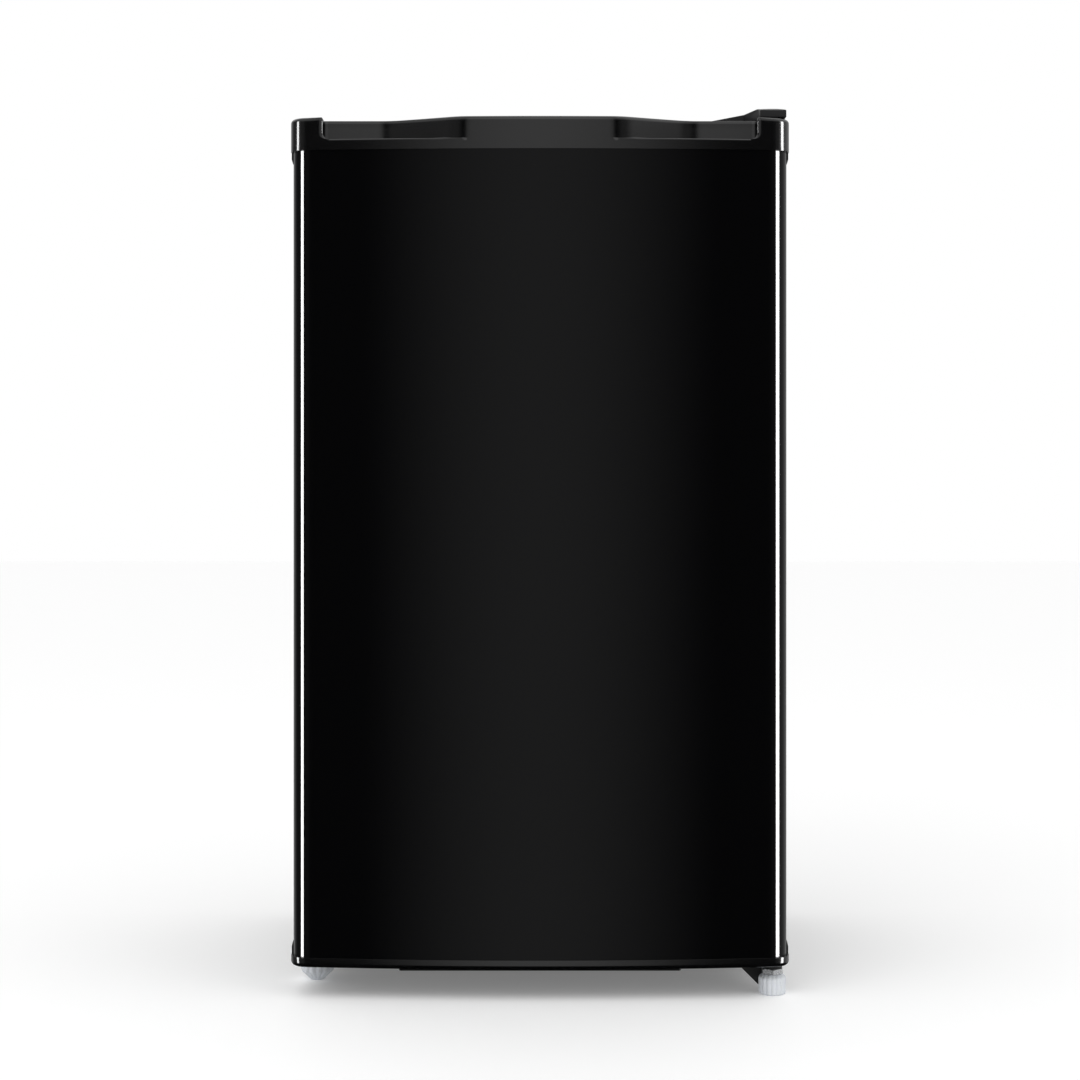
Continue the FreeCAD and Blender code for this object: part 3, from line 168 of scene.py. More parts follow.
def satin_plastic():
    s = Surface("satin_black_plastic", (0.0022, 0.0022, 0.0024), 0.14, Specular_IOR_Level=1.0)
    s.rough(s.noise(12, 3), 0.125, 0.155)
    return s.bump(s.noise(900, 2), 0.0015 * MM)


def textured_plastic():
    s = Surface("textured_black_plastic", (0.012, 0.012, 0.013), 0.42)
    s.rough(s.noise(60), 0.36, 0.5)
    return s.bump(s.noise(1100, 3), 0.05 * MM)


def cabinet_paint():
    s = Surface("black_cabinet_paint", (0.006, 0.006, 0.0066), 0.36, Specular_IOR_Level=0.45)
    s.rough(s.noise(14, 4), 0.32, 0.4)
    s.bump(s.noise(700, 3), 0.03 * MM)
    return s.bump(s.noise(4, 2), 0.08 * MM)


def bracket_paint():
    s = Surface("black_bracket_paint", (0.016, 0.016, 0.016), 0.45)
    s.rough(s.noise(120), 0.38, 0.55)
    return s.bump(s.noise(900), 0.03 * MM)


def galvanised():
    s = Surface("galvanised_sheet", (0.5, 0.52, 0.54), 0.42, Metallic=1.0)
    cells = s.add("TexVoronoi", Scale=150.0)
    s.link(s.place, cells.inputs["Vector"])
    shade = s.add("SeparateColor")
    s.link(cells.outputs["Color"], shade.inputs["Color"])
    s.tint(shade.outputs["Red"], (0.47, 0.49, 0.51), (0.56, 0.58, 0.60))
    s.rough(shade.outputs["Green"], 0.38, 0.48)
    return s.bump(s.noise(260), 0.02 * MM)


def zinc():
    s = Surface("zinc_plate", (0.72, 0.74, 0.77), 0.24, Metallic=0.7)
    s.tint(s.noise(240), (0.66, 0.68, 0.72), (0.80, 0.80, 0.79))
    s.rough(s.noise(500), 0.16, 0.34)
    return s.bump(s.noise(900), 0.01 * MM)


def moulded_white(name, color, rough, grain):
    s = Surface(name, color, rough, Specular_IOR_Level=0.5, Subsurface_Weight=0.08)
    s.shader.inputs["Subsurface Radius"].default_value = (0.003, 0.0028, 0.0025)
    s.tint(s.noise(6), color, tuple(c * 0.985 for c in color))
    s.rough(s.noise(30, 2), rough - 0.015, rough + 0.02)
    return s.bump(s.noise(grain, 2), 0.004 * MM)


def foot_plastic():
    s = Surface("milky_foot_plastic", (0.72, 0.75, 0.79), 0.3, Subsurface_Weight=0.3)
    s.shader.inputs["Subsurface Radius"].default_value = (0.004, 0.004, 0.0045)
    s.tint(s.noise(90), (0.66, 0.69, 0.73), (0.80, 0.82, 0.85))
    s.rough(s.noise(300), 0.24, 0.4)
    return s.bump(s.noise(700), 0.03 * MM)


def clear_plastic():
    s = Surface("clear_styrene", (0.93, 0.96, 0.98), 0.06, Transmission_Weight=0.93, IOR=1.5)
    s.rough(s.noise(60), 0.03, 0.11)
    return s.bump(s.noise(35), 0.05 * MM)


def shelf_glass():
    s = Surface("shelf_glass", (0.86, 0.97, 0.94), 0.02, Transmission_Weight=1.0, IOR=1.5)
    s.rough(s.noise(30), 0.01, 0.04)
    return s.bump(s.noise(12), 0.02 * MM)


def evaporator_sheet():
    s = Surface("rolled_aluminium", (0.76, 0.78, 0.8), 0.34, Metallic=1.0)
    s.rough(s.noise(90, 4, (1, 14, 14)), 0.24, 0.46)
    return s.bump(s.noise(220, 3, (1, 9, 9)), 0.03 * MM)


def enamel():
    s = Surface("black_enamel", (0.010, 0.010, 0.010), 0.28)
    s.rough(s.noise(40, 4), 0.2, 0.4)
    s.bump(s.noise(45, 2), 0.12 * MM)
    return s.bump(s.noise(500, 2), 0.02 * MM)


def copper():
    s = Surface("copper_pipe", (0.85, 0.45, 0.28), 0.3, Metallic=1.0)
    s.tint(s.noise(55, 5), (0.92, 0.52, 0.34), (0.42, 0.22, 0.14))
    s.rough(s.noise(130), 0.22, 0.46)
    return s.bump(s.noise(400), 0.02 * MM)


def rubber(name, color):
    s = Surface(name, color, 0.62, Specular_IOR_Level=0.3)
    s.rough(s.noise(120), 0.54, 0.72)
    return s.bump(s.noise(1500), 0.02 * MM)


def grey_plastic():
    s = Surface("grey_polypropylene", (0.32, 0.33, 0.34), 0.5)
    s.tint(s.noise(50), (0.29, 0.30, 0.31), (0.36, 0.37, 0.38))
    return s.bump(s.noise(600), 0.03 * MM)


def cast_iron():
    s = Surface("cast_iron", (0.12, 0.12, 0.125), 0.6, Metallic=0.8)
    return s.bump(s.noise(350), 0.2 * MM)


def foam():
    s = Surface("insulation_foam", (0.72, 0.62, 0.34), 0.9)
    s.tint(s.noise(40), (0.74, 0.64, 0.36), (0.62, 0.52, 0.28))
    return s.bump(s.noise(500), 0.3 * MM)


def print_ink():
    s = Surface("dial_ink", (0.05, 0.12, 0.25), 0.5)
    return s.rough(s.noise(900), 0.42, 0.6)


white_liner = moulded_white("white_liner", (0.80, 0.815, 0.82), 0.3, 420)
white_parts = moulded_white("white_fittings", (0.83, 0.84, 0.85), 0.34, 800)
caps_finish = satin_plastic()
rough_black = textured_plastic()
steel_grey = galvanised()
bright_zinc = zinc()
pale_foot = foot_plastic()

# The surface of each shown CAD node; None repeats the surface before it
FINISHES = {
    "outer_shell": cabinet_paint(), "rear_panel": steel_grey,
    "compressor_rail": steel_grey, "compressor_feet": steel_grey, "cabinet_foam": foam(),
    "door_foam": None, "inner_liner": white_liner, "door_liner": white_liner,
    "base_pan": bracket_paint(), "top_hinge_bracket": None, "bottom_hinge_bracket": None,
    "top_hinge_pin": bright_zinc, "compressor_bolts": bright_zinc,
    "freezer_frame": white_parts, "freezer_flap": white_parts, "drip_tray": white_parts,
    "drip_tray_rails": white_parts, "thermostat_housing": white_parts, "upper_shelf_trim": white_parts,
    "lower_shelf_trim": white_parts, "bin_lower": clear_plastic(), "bin_middle": None, "bin_upper": None,
    "door_hole_plugs": caps_finish, "top_hinge_cover": rough_black, "cabinet_hole_plugs": rough_black,
    "terminal_cover": rough_black, "condenser_brackets": rough_black, "thermostat_switch": rough_black,
    "cord_gland": rough_black, "rear_feet": rough_black,
    "compressor_grommets": rubber("mount_rubber", (0.03, 0.03, 0.03)),
    "thermostat_knob": moulded_white("dial_plastic", (0.74, 0.755, 0.77), 0.3, 600),
    "top_hinge_bush": white_parts, "bottom_hinge_bush": white_parts, "evaporator": evaporator_sheet(),
    "upper_shelf_glass": shelf_glass(), "lower_shelf_glass": None, "compressor_lower_shell": enamel(),
    "compressor_upper_shell": None, "condenser_tube": None, "condenser_wires": None,
    "compressor_pump": cast_iron(), "discharge_tube": copper(), "suction_tube": None, "filter_drier": None,
    "drip_pan": grey_plastic(), "drain_tube": None,
}

# Width in millimetres of the soft edge that each moulded or pressed CAD part gets
EDGES = {
    "top_hinge_cover": 0.9, "freezer_frame": 0.8, "freezer_flap": 0.5, "drip_tray": 0.5,
    "drip_tray_rails": 0.4, "thermostat_housing": 0.9, "thermostat_knob": 0.5, "upper_shelf_trim": 1.0,
    "lower_shelf_trim": 1.0, "upper_shelf_glass": 0.4, "lower_shelf_glass": 0.4, "terminal_cover": 0.9,
    "condenser_brackets": 0.5, "rear_feet": 1.0, "top_hinge_bracket": 0.35, "bottom_hinge_bracket": 0.35,
    "compressor_feet": 0.4, "compressor_rail": 0.4, "compressor_grommets": 0.4, "compressor_bolts": 0.4,
    "cord_gland": 0.4, "drip_pan": 0.5, "cabinet_hole_plugs": 0.4, "door_hole_plugs": 0.25,
    "bin_lower": 0.6, "bin_middle": 0.6, "bin_upper": 0.6, "evaporator": 0.3, "outer_shell": 0.25,
    "door_liner": 0.8, "inner_liner": 0.5,
}


EDGE_SEGMENTS = 3
FLAT_ANGLE = math.radians(0.4)
CAD_EDGE_ANGLE = math.radians(35)
CARVED_EDGE_ANGLE = math.radians(60)


def soften(thing, width):
    """Round the sharp edges of a CAD node without changing its own mesh."""
    weld = thing.modifiers.new("weld", "WELD")
    weld.merge_threshold = 0.01 * MM
    flat = thing.modifiers.new("flat", "DECIMATE")
    flat.decimate_type = "DISSOLVE"
    flat.angle_limit = FLAT_ANGLE
    bevel = thing.modifiers.new("bevel", "BEVEL")
    bevel.width = width
    bevel.segments = EDGE_SEGMENTS
    bevel.limit_method = "ANGLE"
    bevel.angle_limit = CAD_EDGE_ANGLE
    bevel.use_clamp_overlap = True
    bevel.harden_normals = False
    normals = thing.modifiers.new("normals", "WEIGHTED_NORMAL")
    normals.keep_sharp = False


def finish_cad_nodes():
    """Give every shown CAD node its material, and soft edges where a width is set."""
    last = None
    for node, surface in FINISHES.items():
        last = surface or last
        thing = nodes[node]
        thing.data.materials.clear()
        thing.data.materials.append(last.material)
        if node in EDGES:
            soften(thing, EDGES[node] * MM)


# ---------------------------------------------------------------- mesh helpers

def piece(name, bm, surface, body, sharp=32):
    """A finished mesh object that rides on a body."""
    bmesh.ops.recalc_face_normals(bm, faces=bm.faces)
    mesh = bpy.data.meshes.new(name)
    bm.to_mesh(mesh)
    bm.free()
    return place(name, mesh, surface, body, sharp)


def place(name, mesh, surface, body, sharp=32):
    mesh.shade_smooth()
    mesh.set_sharp_from_angle(angle=math.radians(sharp))
    mesh.materials.clear()
    mesh.materials.append(surface.material)
    thing = bpy.data.objects.new(name, mesh)
    bpy.context.collection.objects.link(thing)
    if body:
        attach(thing, body)
    return thing


def loft(rings):
    """Skin a list of rings with the same number of points, and close both ends."""
    bm = bmesh.new()
    rows = [[bm.verts.new(point) for point in ring] for ring in rings]
    count = len(rows[0])
    for low, high in zip(rows, rows[1:]):
        for i in range(count):
            j = (i + 1) % count
            bm.faces.new((low[i], low[j], high[j], high[i]))
    bm.faces.new(list(reversed(rows[0])))
    bm.faces.new(rows[-1])
    return bm


def prism(outline, low, high):
    """Straight upright solid over a plan outline."""
    return loft([[(x, y, z) for x, y in outline] for z in (low, high)])


def lathe(radius, levels, centre, steps):
    """Solid of rings round an upright axis, whose radius depends on level and angle."""
    rings = []
    for level in levels:
        ring = []
        for step in range(steps):
            angle = 2 * math.pi * step / steps
            r = radius(level, angle)
            ring.append(Vector(centre) + Vector((r * math.cos(angle), r * math.sin(angle), level)))
        rings.append(ring)
    return loft(rings)


def shaped(points):
    """Radius at a level from a list of (level, radius) corners."""
    def radius(level, angle):
        for (z0, r0), (z1, r1) in zip(points, points[1:]):
            if z0 <= level <= z1:
                return r0 + (r1 - r0) * (level - z0) / (z1 - z0) if z1 > z0 else r1
        return points[-1][1]
    return radius


def object_of(bm):
    mesh = bpy.data.meshes.new("work")
    bmesh.ops.recalc_face_normals(bm, faces=bm.faces)
    bm.to_mesh(mesh)
    bm.free()
    thing = bpy.data.objects.new("work", mesh)
    bpy.context.collection.objects.link(thing)
    return thing


def carve(bm, cutters, joins=(), edge=0):
    """Cut and join solids, round the sharp edges by a width, and return the finished mesh."""
    base = object_of(bm)
    tools = []
    for operation, solids in (("UNION", joins), ("DIFFERENCE", cutters)):
        for solid in solids:
            tool = object_of(solid)
            tools.append(tool)
            boolean = base.modifiers.new("boolean", "BOOLEAN")
            boolean.operation = operation
            boolean.solver = "EXACT"
            boolean.object = tool
    weld = base.modifiers.new("weld", "WELD")
    weld.merge_threshold = 0.02 * MM
    if edge:
        bevel = base.modifiers.new("bevel", "BEVEL")
        bevel.width = edge
        bevel.segments = EDGE_SEGMENTS
        bevel.limit_method = "ANGLE"
        bevel.angle_limit = CARVED_EDGE_ANGLE
        bevel.use_clamp_overlap = True
    bpy.context.view_layer.update()
    mesh = bpy.data.meshes.new_from_object(base.evaluated_get(bpy.context.evaluated_depsgraph_get()))
    for thing in [base, *tools]:
        bpy.data.objects.remove(thing)
    return mesh


ROUND_STEPS = 8


def rounded_plan(x0, y0, x1, y1, r):
    """Rectangle with rounded corners, in plan."""
    outline = []
    for cx, cy, start in ((x1 - r, y1 - r, 0), (x0 + r, y1 - r, 90),
                          (x0 + r, y0 + r, 180), (x1 - r, y0 + r, 270)):
        for step in range(ROUND_STEPS + 1):
            a = math.radians(start + 90 * step / ROUND_STEPS)
            outline.append((cx + r * math.cos(a), cy + r * math.sin(a)))
    return outline


# ---------------------------------------------------------------- door shape

ARC_STEPS = 120
CORNER_STEPS = 14


def corner_arc(half, inset, corner):
    """Radius of the front arc, centre of its right corner's arc, and the angle where the two meet."""
    big = ARC - inset
    cx = half - corner
    cy = FRONT + ARC - math.sqrt((big - corner) ** 2 - cx ** 2)
    return big, cx, cy, math.asin(cx / (big - corner))


def door_plan(half, inset, corner, rear):
    """Plan outline of the door, with its front moved inwards by an inset."""
    big, cx, cy, lean = corner_arc(half, inset, corner)
    outline = [(-half, rear)]
    for step in range(CORNER_STEPS + 1):
        a = math.pi + (math.pi / 2 - lean) * step / CORNER_STEPS
        outline.append((-cx + corner * math.cos(a), cy + corner * math.sin(a)))
    for step in range(1, ARC_STEPS):
        a = -lean + 2 * lean * step / ARC_STEPS
        outline.append((big * math.sin(a), FRONT + ARC - big * math.cos(a)))
    for step in range(CORNER_STEPS + 1):
        a = -math.pi / 2 + lean + (math.pi / 2 - lean) * step / CORNER_STEPS
        outline.append((cx + corner * math.cos(a), cy + corner * math.sin(a)))
    outline.append((half, rear))
    return outline


def rounded_cap(low, high, rounding):
    """End cap body whose outer edge is rounded at the bottom."""
    levels = []
    for step in range(ROUND_STEPS + 1):
        a = math.pi / 2 * step / ROUND_STEPS
        levels.append((low + rounding * (1 - math.cos(a)), rounding * (1 - math.sin(a))))
    levels.append((high, 0))
    half = HALF + CAP_SIDE
    return loft([[(x, y, z) for x, y in door_plan(half - d, d - CAP_FRONT, CAP_CORNER - d, PANEL_REAR)]
                 for z, d in levels])


SKIRT_FRONT, SKIRT_REAR = -193 * MM, -173 * MM
SKIRT_SUNK = 3 * MM
SKIRT_KNEE = 0.55
SKIRT_TIP = 0.7 * MM


def skirt(sign, root, tip):
    """Lug by which an end cap laps over a side of the door, tapered towards its tip."""
    inner, outer = HALF - SKIRT_SUNK, HALF + CAP_SIDE
    knee = root + (tip - root) * SKIRT_KNEE
    inside = root - math.copysign(SKIRT_SUNK, tip - root)
    profile = [(inner, inside), (outer, inside), (outer, knee), (HALF + SKIRT_TIP, tip), (inner, tip)]
    return loft([[(sign * x, y, z) for x, z in profile] for y in (SKIRT_FRONT, SKIRT_REAR)])


# The scoops either side of the grip: floor, outer end, straight rear wall, and the S-curve from the
# grip to the wall with the share of it that is eased at each end
SCOOP_LOW = 812 * MM
SCOOP_HALF = 205 * MM
SCOOP_WALL = FRONT + 28.5 * MM
SCOOP_BEND = 152 * MM
GRIP_HALF = 68 * MM
SCOOP_EASE = 0.22
SCOOP_ROUND = 6 * MM
SCOOP_LIP = 1.2 * MM
SCOOP_FILLET = 1.6 * MM
SCOOP_END_ROUND = 2 * MM
WALL_LEAN = math.tan(math.radians(5))
WALL_LEVELS = (0.6, 1.2, 1.8, 2.6, 3.6, 4.8, 6, 9, 13)
CAP_TOP_ROUND = 4 * MM
CAP_TOP_STEPS = 8
LEAST_SHARE = 0.35
MITRE_LIMIT = 1.2
SAME_POINT = 1e-7
# Columns round half the top cap: a kind, its number of steps, and the first and last that are used
CAP_COLUMNS = (("corner", CORNER_STEPS, 0, CORNER_STEPS), ("shoulder", 6, 1, 5), ("edge", 4, 0, 4),
               ("scoop", 44, 0, 44), ("grip", 20, 1, 19))


def scooped(x):
    """How much of the scoop's depth is reached at x, from 0 at the grip to 1."""
    part = min(max((abs(x) - GRIP_HALF) / (SCOOP_BEND - GRIP_HALF), 0), 1)
    ease = SCOOP_EASE
    if part < ease:
        return part ** 2 / (2 * ease * (1 - ease))
    if part < 1 - ease:
        return (part - ease / 2) / (1 - ease)
    return 1 - (1 - part) ** 2 / (2 * ease * (1 - ease))


def cap_front(x):
    """Where the end caps' front arc is."""
    return FRONT + ARC - math.sqrt((ARC + CAP_FRONT) ** 2 - x ** 2)


def scoop_end(up):
    """Where the scoop ends at a height above its floor, with a rounded lower corner."""
    low = max(SCOOP_ROUND - up, 0)
    return SCOOP_HALF - SCOOP_ROUND + math.sqrt(SCOOP_ROUND ** 2 - low ** 2)


def cap_columns():
    """Places round the right half of the top cap, as (kind, share of it), from the side to the middle."""
    return [(kind, step / steps) for kind, steps, first, last in CAP_COLUMNS
            for step in range(first, last + 1)]


def cap_point(kind, part, up, stage, blend):
    """Point of the right half of the top cap. Up is the height over the scoop's floor; the stage is
    the body below it, the rounded lip, the floor, the fillet behind it, or the wall."""
    big, cx, cy, lean = corner_arc(HALF + CAP_SIDE, -CAP_FRONT, CAP_CORNER)
    tip = big * math.sin(lean)
    end = scoop_end(up if stage == "wall" else 0)
    round_r = min(SCOOP_END_ROUND, max(up, 0) * 0.7) if stage == "wall" else 0
    z = SCOOP_LOW + (up if stage in ("body", "wall") else 0)
    if kind == "corner":
        a = -(math.pi / 2 - lean) * part
        return cx + CAP_CORNER * math.cos(a), cy + CAP_CORNER * math.sin(a), z
    if kind == "shoulder":
        x = tip + (end + round_r - tip) * part
        return x, cap_front(x), z
    if kind == "edge":
        a = math.pi / 2 * (1 - part)
        x = end + round_r * (1 - math.cos(a))
        return x, cap_front(end + round_r) + round_r * (1 - math.sin(a)), z
    if kind == "grip":
        x = GRIP_HALF * (1 - part)
        return x, cap_front(x), z
    x = end + (GRIP_HALF - end) * part
    deep = scooped(x)
    front = cap_front(x)
    wall = front + (SCOOP_WALL - front) * deep
    lip = min(SCOOP_LIP, (wall - front) * 0.2)
    fillet = min(SCOOP_FILLET, (wall - front) * 0.25)
    angle = math.pi / 2 * blend
    if stage == "body":
        return x, front, z - lip * blend
    if stage == "lip":
        return x, front + lip * (1 - math.cos(angle)), SCOOP_LOW - lip * (1 - math.sin(angle))
    if stage == "floor":
        return x, front + lip + (wall - fillet - front - lip) * blend, SCOOP_LOW
    if stage == "fillet":
        return x, wall - fillet + fillet * math.sin(angle), SCOOP_LOW + fillet * (1 - math.cos(angle))
    lift = max(up, fillet)
    return x, wall + WALL_LEAN * up * deep, SCOOP_LOW + lift


def top_share(kind, part):
    """How widely the top edge is rounded: fully outside, less along the scoop's end and wall."""
    if kind in ("corner", "grip"):
        return 1
    if kind == "shoulder":
        return 1 - (1 - LEAST_SHARE) * part
    if kind == "edge":
        return LEAST_SHARE
    return LEAST_SHARE + (1 - LEAST_SHARE) * (1 - scooped(SCOOP_HALF + (GRIP_HALF - SCOOP_HALF) * part))


def shrunk(outline, inset, share):
    """Closed plan outline moved inwards by each point's share of an inset, with mitred corners."""
    moved = []
    count = len(outline)
    for i, (x, y) in enumerate(outline):
        before, after = i - 1, (i + 1) % count
        while math.dist(outline[before], (x, y)) < SAME_POINT:
            before -= 1
        while math.dist(outline[after], (x, y)) < SAME_POINT:
            after = (after + 1) % count
        ux, uy = x - outline[before][0], y - outline[before][1]
        vx, vy = outline[after][0] - x, outline[after][1] - y
        u, v = math.hypot(ux, uy), math.hypot(vx, vy)
        nx, ny = uy / u + vy / v, -ux / u - vx / v
        scale = 2 * inset * share[i] / max(nx * nx + ny * ny, MITRE_LIMIT)
        moved.append((x + nx * scale, y + ny * scale))
    return moved


def scooped_body():
    """Top end cap with its two scoops, skinned ring by ring from the seam to the rounded top."""
    columns = cap_columns()
    top = cap_high.z - SCOOP_LOW
    stages = [("body", skin_high.z - SCOOP_LOW, 0), ("body", -3 * MM, 0)]
    stages += [("lip", 0, step / 4) for step in range(5)]
    stages += [("floor", 0, step / 6) for step in range(1, 7)]
    stages += [("fillet", 0, step / 4) for step in range(1, 5)]
    stages += [("wall", up * MM, 0) for up in WALL_LEVELS]
    stages += [("wall", top - CAP_TOP_ROUND, 0)]

    def ring(stage, up, blend):
        right = [cap_point(kind, part, up, stage, blend) for kind, part in columns]
        middle = [(0, cap_front(0), right[-1][2])]
        left = [(-x, y, z) for x, y, z in reversed(right)]
        z = SCOOP_LOW + (up if stage in ("body", "wall") else 0)
        return [(HALF + CAP_SIDE, PANEL_REAR, z), *right, *middle, *left, (-HALF - CAP_SIDE, PANEL_REAR, z)]

    rings = [ring(*stage) for stage in stages]
    rim = [(x, y) for x, y, z in rings[-1]]
    half = [top_share(kind, part) for kind, part in columns]
    share = [1, *half, 1, *reversed(half), 1]
    for step in range(1, CAP_TOP_STEPS + 1):
        a = math.pi / 2 * step / CAP_TOP_STEPS
        plan = shrunk(rim, CAP_TOP_ROUND * (1 - math.cos(a)), share)
        plan[0] = (plan[0][0], PANEL_REAR)
        plan[-1] = (plan[-1][0], PANEL_REAR)
        level = cap_high.z - CAP_TOP_ROUND * (1 - math.sin(a))
        rings.append([(x, y, level) for x, y in plan])
    bm = loft(rings)
    bmesh.ops.remove_doubles(bm, verts=bm.verts, dist=0.004 * MM)
    bmesh.ops.dissolve_degenerate(bm, edges=bm.edges, dist=0.002 * MM)
    return bm


def trough_cutter():
    """Finger trough behind the grip, with a rounded floor."""
    half, front, rear, low, r = 78 * MM, -213 * MM, -191 * MM, 806 * MM, 4.5 * MM
    corner, over, steps = 5 * MM, 6 * MM, 6
    rings = []
    for step in range(steps + 1):
        a = math.pi / 2 * step / steps
        inset = r * (1 - math.sin(a))
        level = low + r * (1 - math.cos(a))
        rings.append([(x, y, level) for x, y in
                      rounded_plan(-half + inset, front + inset, half - inset, rear - inset, corner)])
    rings.append([(x, y, cap_high.z + over) for x, y in rounded_plan(-half, front, half, rear, corner)])
    return loft(rings)


PIN_HOLE_R = 7 * MM
BOTTOM_CAP_LOW = 29.5 * MM
BOTTOM_LIP_HALF = 133 * MM


def pin_hole(sign, low, high):
    """Hinge hole at one end of a cap."""
    return lathe(lambda z, a: PIN_HOLE_R, [low, high], (sign * hinge.x, hinge.y, 0), 64)


def door_caps():
    """Top end cap with the handle, and bottom end cap with its shallow middle lip."""
    low, high = skin_high.z, cap_high.z
    holes = [pin_hole(sign, low - MM, high + MM) for sign in (-1, 1)]
    skirts = [skirt(sign, low, cap_low.z) for sign in (-1, 1)]
    mesh = carve(scooped_body(), [trough_cutter(), *holes], skirts, edge=0.5 * MM)
    top = place("top_end_cap", mesh, caps_finish, "door", 40)
    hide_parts("door_top_cap")

    low, high = BOTTOM_CAP_LOW, skin_low.z
    holes = [pin_hole(sign, low - MM, high + MM) for sign in (-1, 1)]
    skirts = [skirt(sign, high, base_high.z) for sign in (-1, 1)]
    lip = prism(rounded_plan(-BOTTOM_LIP_HALF, FRONT + 6 * MM,
                             BOTTOM_LIP_HALF, PANEL_REAR - 12 * MM, 3 * MM), base_low.z, low + 2 * MM)
    mesh = carve(rounded_cap(low, high, 4.5 * MM), holes, [*skirts, lip], edge=0.4 * MM)
    bottom = place("bottom_end_cap", mesh, caps_finish, "door", 40)
    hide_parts("door_bottom_cap")
    return [top, bottom]


def door_panel():
    """Curved sheet with its returns, as one thin closed wall."""
    skin, back = 0.8 * MM, PANEL_REAR
    outer = door_plan(HALF, 0, CORNER, back)
    inner = door_plan(HALF - skin, skin, CORNER - skin, back - skin)
    mouth = HALF - 13 * MM
    outline = outer + [(mouth, back), (mouth, back - skin)] + list(reversed(inner))
    outline += [(-mouth, back - skin), (-mouth, back)]
    panel = piece("door_panel", prism(outline, skin_low.z, skin_high.z), gloss_paint(), "door", 25)
    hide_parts("door_skin")
    return panel


def gasket():
    """Bellows seal with mitred corners round the rear face of the door."""
    low, high = span("door_gasket")
    rear, tip = low.y, high.y
    deep = tip - rear
    profile = [(3.5, 0), (3.2, 0.18), (1.2, 0.26), (0.4, 0.40), (1.6, 0.52), (0.6, 0.66), (0.2, 0.86),
               (1.2, 1.0), (9.6, 1.0), (10.6, 0.86), (10.2, 0.66), (9.0, 0.55), (10.4, 0.44), (12.5, 0.34),
               (15.4, 0.30), (16.0, 0.18), (15.0, 0.08), (12.6, 0.0)]
    rings = []
    for inset, depth in profile:
        d, y = inset * MM, rear + deep * depth
        rings.append([(low.x + d, y, low.z + d), (high.x - d, y, low.z + d),
                      (high.x - d, y, high.z - d), (low.x + d, y, high.z - d)])
    bm = bmesh.new()
    rows = [[bm.verts.new(point) for point in ring] for ring in rings]
    for first, second in zip(rows, rows[1:] + rows[:1]):
        for i in range(4):
            j = (i + 1) % 4
            bm.faces.new((first[i], first[j], second[j], second[i]))
    seal = piece("magnetic_seal", bm, rubber("seal_rubber", (0.05, 0.05, 0.052)), "door", 50)
    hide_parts("door_gasket")


# ---------------------------------------------------------------- feet and hardware

def lobed(profile, lobes, depth, from_level):
    """A profile whose side is scalloped into lobes above a level."""
    plain = shaped(profile)

    def radius(level, angle):
        scallop = depth * (1 - abs(math.cos(lobes * angle / 2))) if level >= from_level else 0
        return plain(level, angle) - scallop
    return radius


def levels_of(profile):
    """Levels of a profile's corners with steps between them."""
    steps = 6
    values = []
    for (z0, _), (z1, _) in zip(profile, profile[1:]):
        values += [z0 + (z1 - z0) * step / steps for step in range(steps)]
    return values + [profile[-1][0]]


def feet():
    """The two fluted levelling feet in front."""
    low, high = span("right_front_foot")
    r, tall = (high.x - low.x) / 2, high.z
    profile = [(0, r - 1.8 * MM), (0.7 * MM, r - 0.5 * MM), (2 * MM, r), (tall - 3.4 * MM, r),
               (tall - 2.2 * MM, r - 0.7 * MM), (tall - 0.3 * MM, r - 3 * MM), (tall, r - 3.6 * MM)]
    right = piece("right_levelling_foot",
                  lathe(lobed(profile, 16, 0.75 * MM, 0.7 * MM), levels_of(profile),
                        (hinge.x, hinge.y, 0), 192), pale_foot, "right_front_foot", 22)
    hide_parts("right_front_foot")

    low, high = span("left_front_foot")
    centre, r, tall = (low + high) / 2, (high.x - low.x) / 2, high.z
    profile = [(0, 6.4 * MM), (0.5 * MM, 7 * MM), (9 * MM, r - 0.3 * MM), (10.5 * MM, r),
               (tall - 1.5 * MM, r), (tall, r - 1.5 * MM)]
    left = piece("left_levelling_foot",
                 lathe(lobed(profile, 14, 1.5 * MM, 2 * MM), levels_of(profile),
                       (centre.x, centre.y, 0), 196), pale_foot, "left_front_foot", 22)
    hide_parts("left_front_foot")


THREAD_R = 4.9 * MM
THREAD_PITCH = 1.5 * MM
THREAD_DEEP = 0.55 * MM
THREAD_TOP = 25 * MM
NUT_TALL = 5 * MM
NUT_CORNER_R = 11 * MM
NUT_BORE_R = 4.95 * MM


def threaded(low, high, centre):
    """Bolt shank with a helical thread between two levels."""
    def radius(level, angle):
        phase = (level / THREAD_PITCH - angle / (2 * math.pi)) % 1
        ease = min((level - low) / THREAD_PITCH, (high - level) / THREAD_PITCH, 1)
        return THREAD_R - THREAD_DEEP * ease * abs(2 * phase - 1)
    count = int((high - low) / THREAD_PITCH * 8)
    return lathe(radius, [low + (high - low) * step / count for step in range(count + 1)], centre, 64)


def hex_nut(centre, low):
    """Hexagon with its corners turned off, round a bore."""
    high = low + NUT_TALL

    def radius(level, angle):
        flat = NUT_CORNER_R * math.cos(math.pi / 6)
        side = flat / math.cos((angle + math.pi / 6) % (math.pi / 3) - math.pi / 6)
        edge = min(level - low, high - level)
        return min(side, flat + 0.1 * MM + edge * 2.0)
    inwards = (0, 0.25 * MM, 0.6 * MM, MM)
    levels = [low + d for d in inwards] + [high - d for d in reversed(inwards)]
    outer = lathe(radius, levels, centre, 144)
    hole = lathe(lambda z, a: NUT_BORE_R, [low - MM, high + MM], centre, 64)
    return carve(outer, [hole])


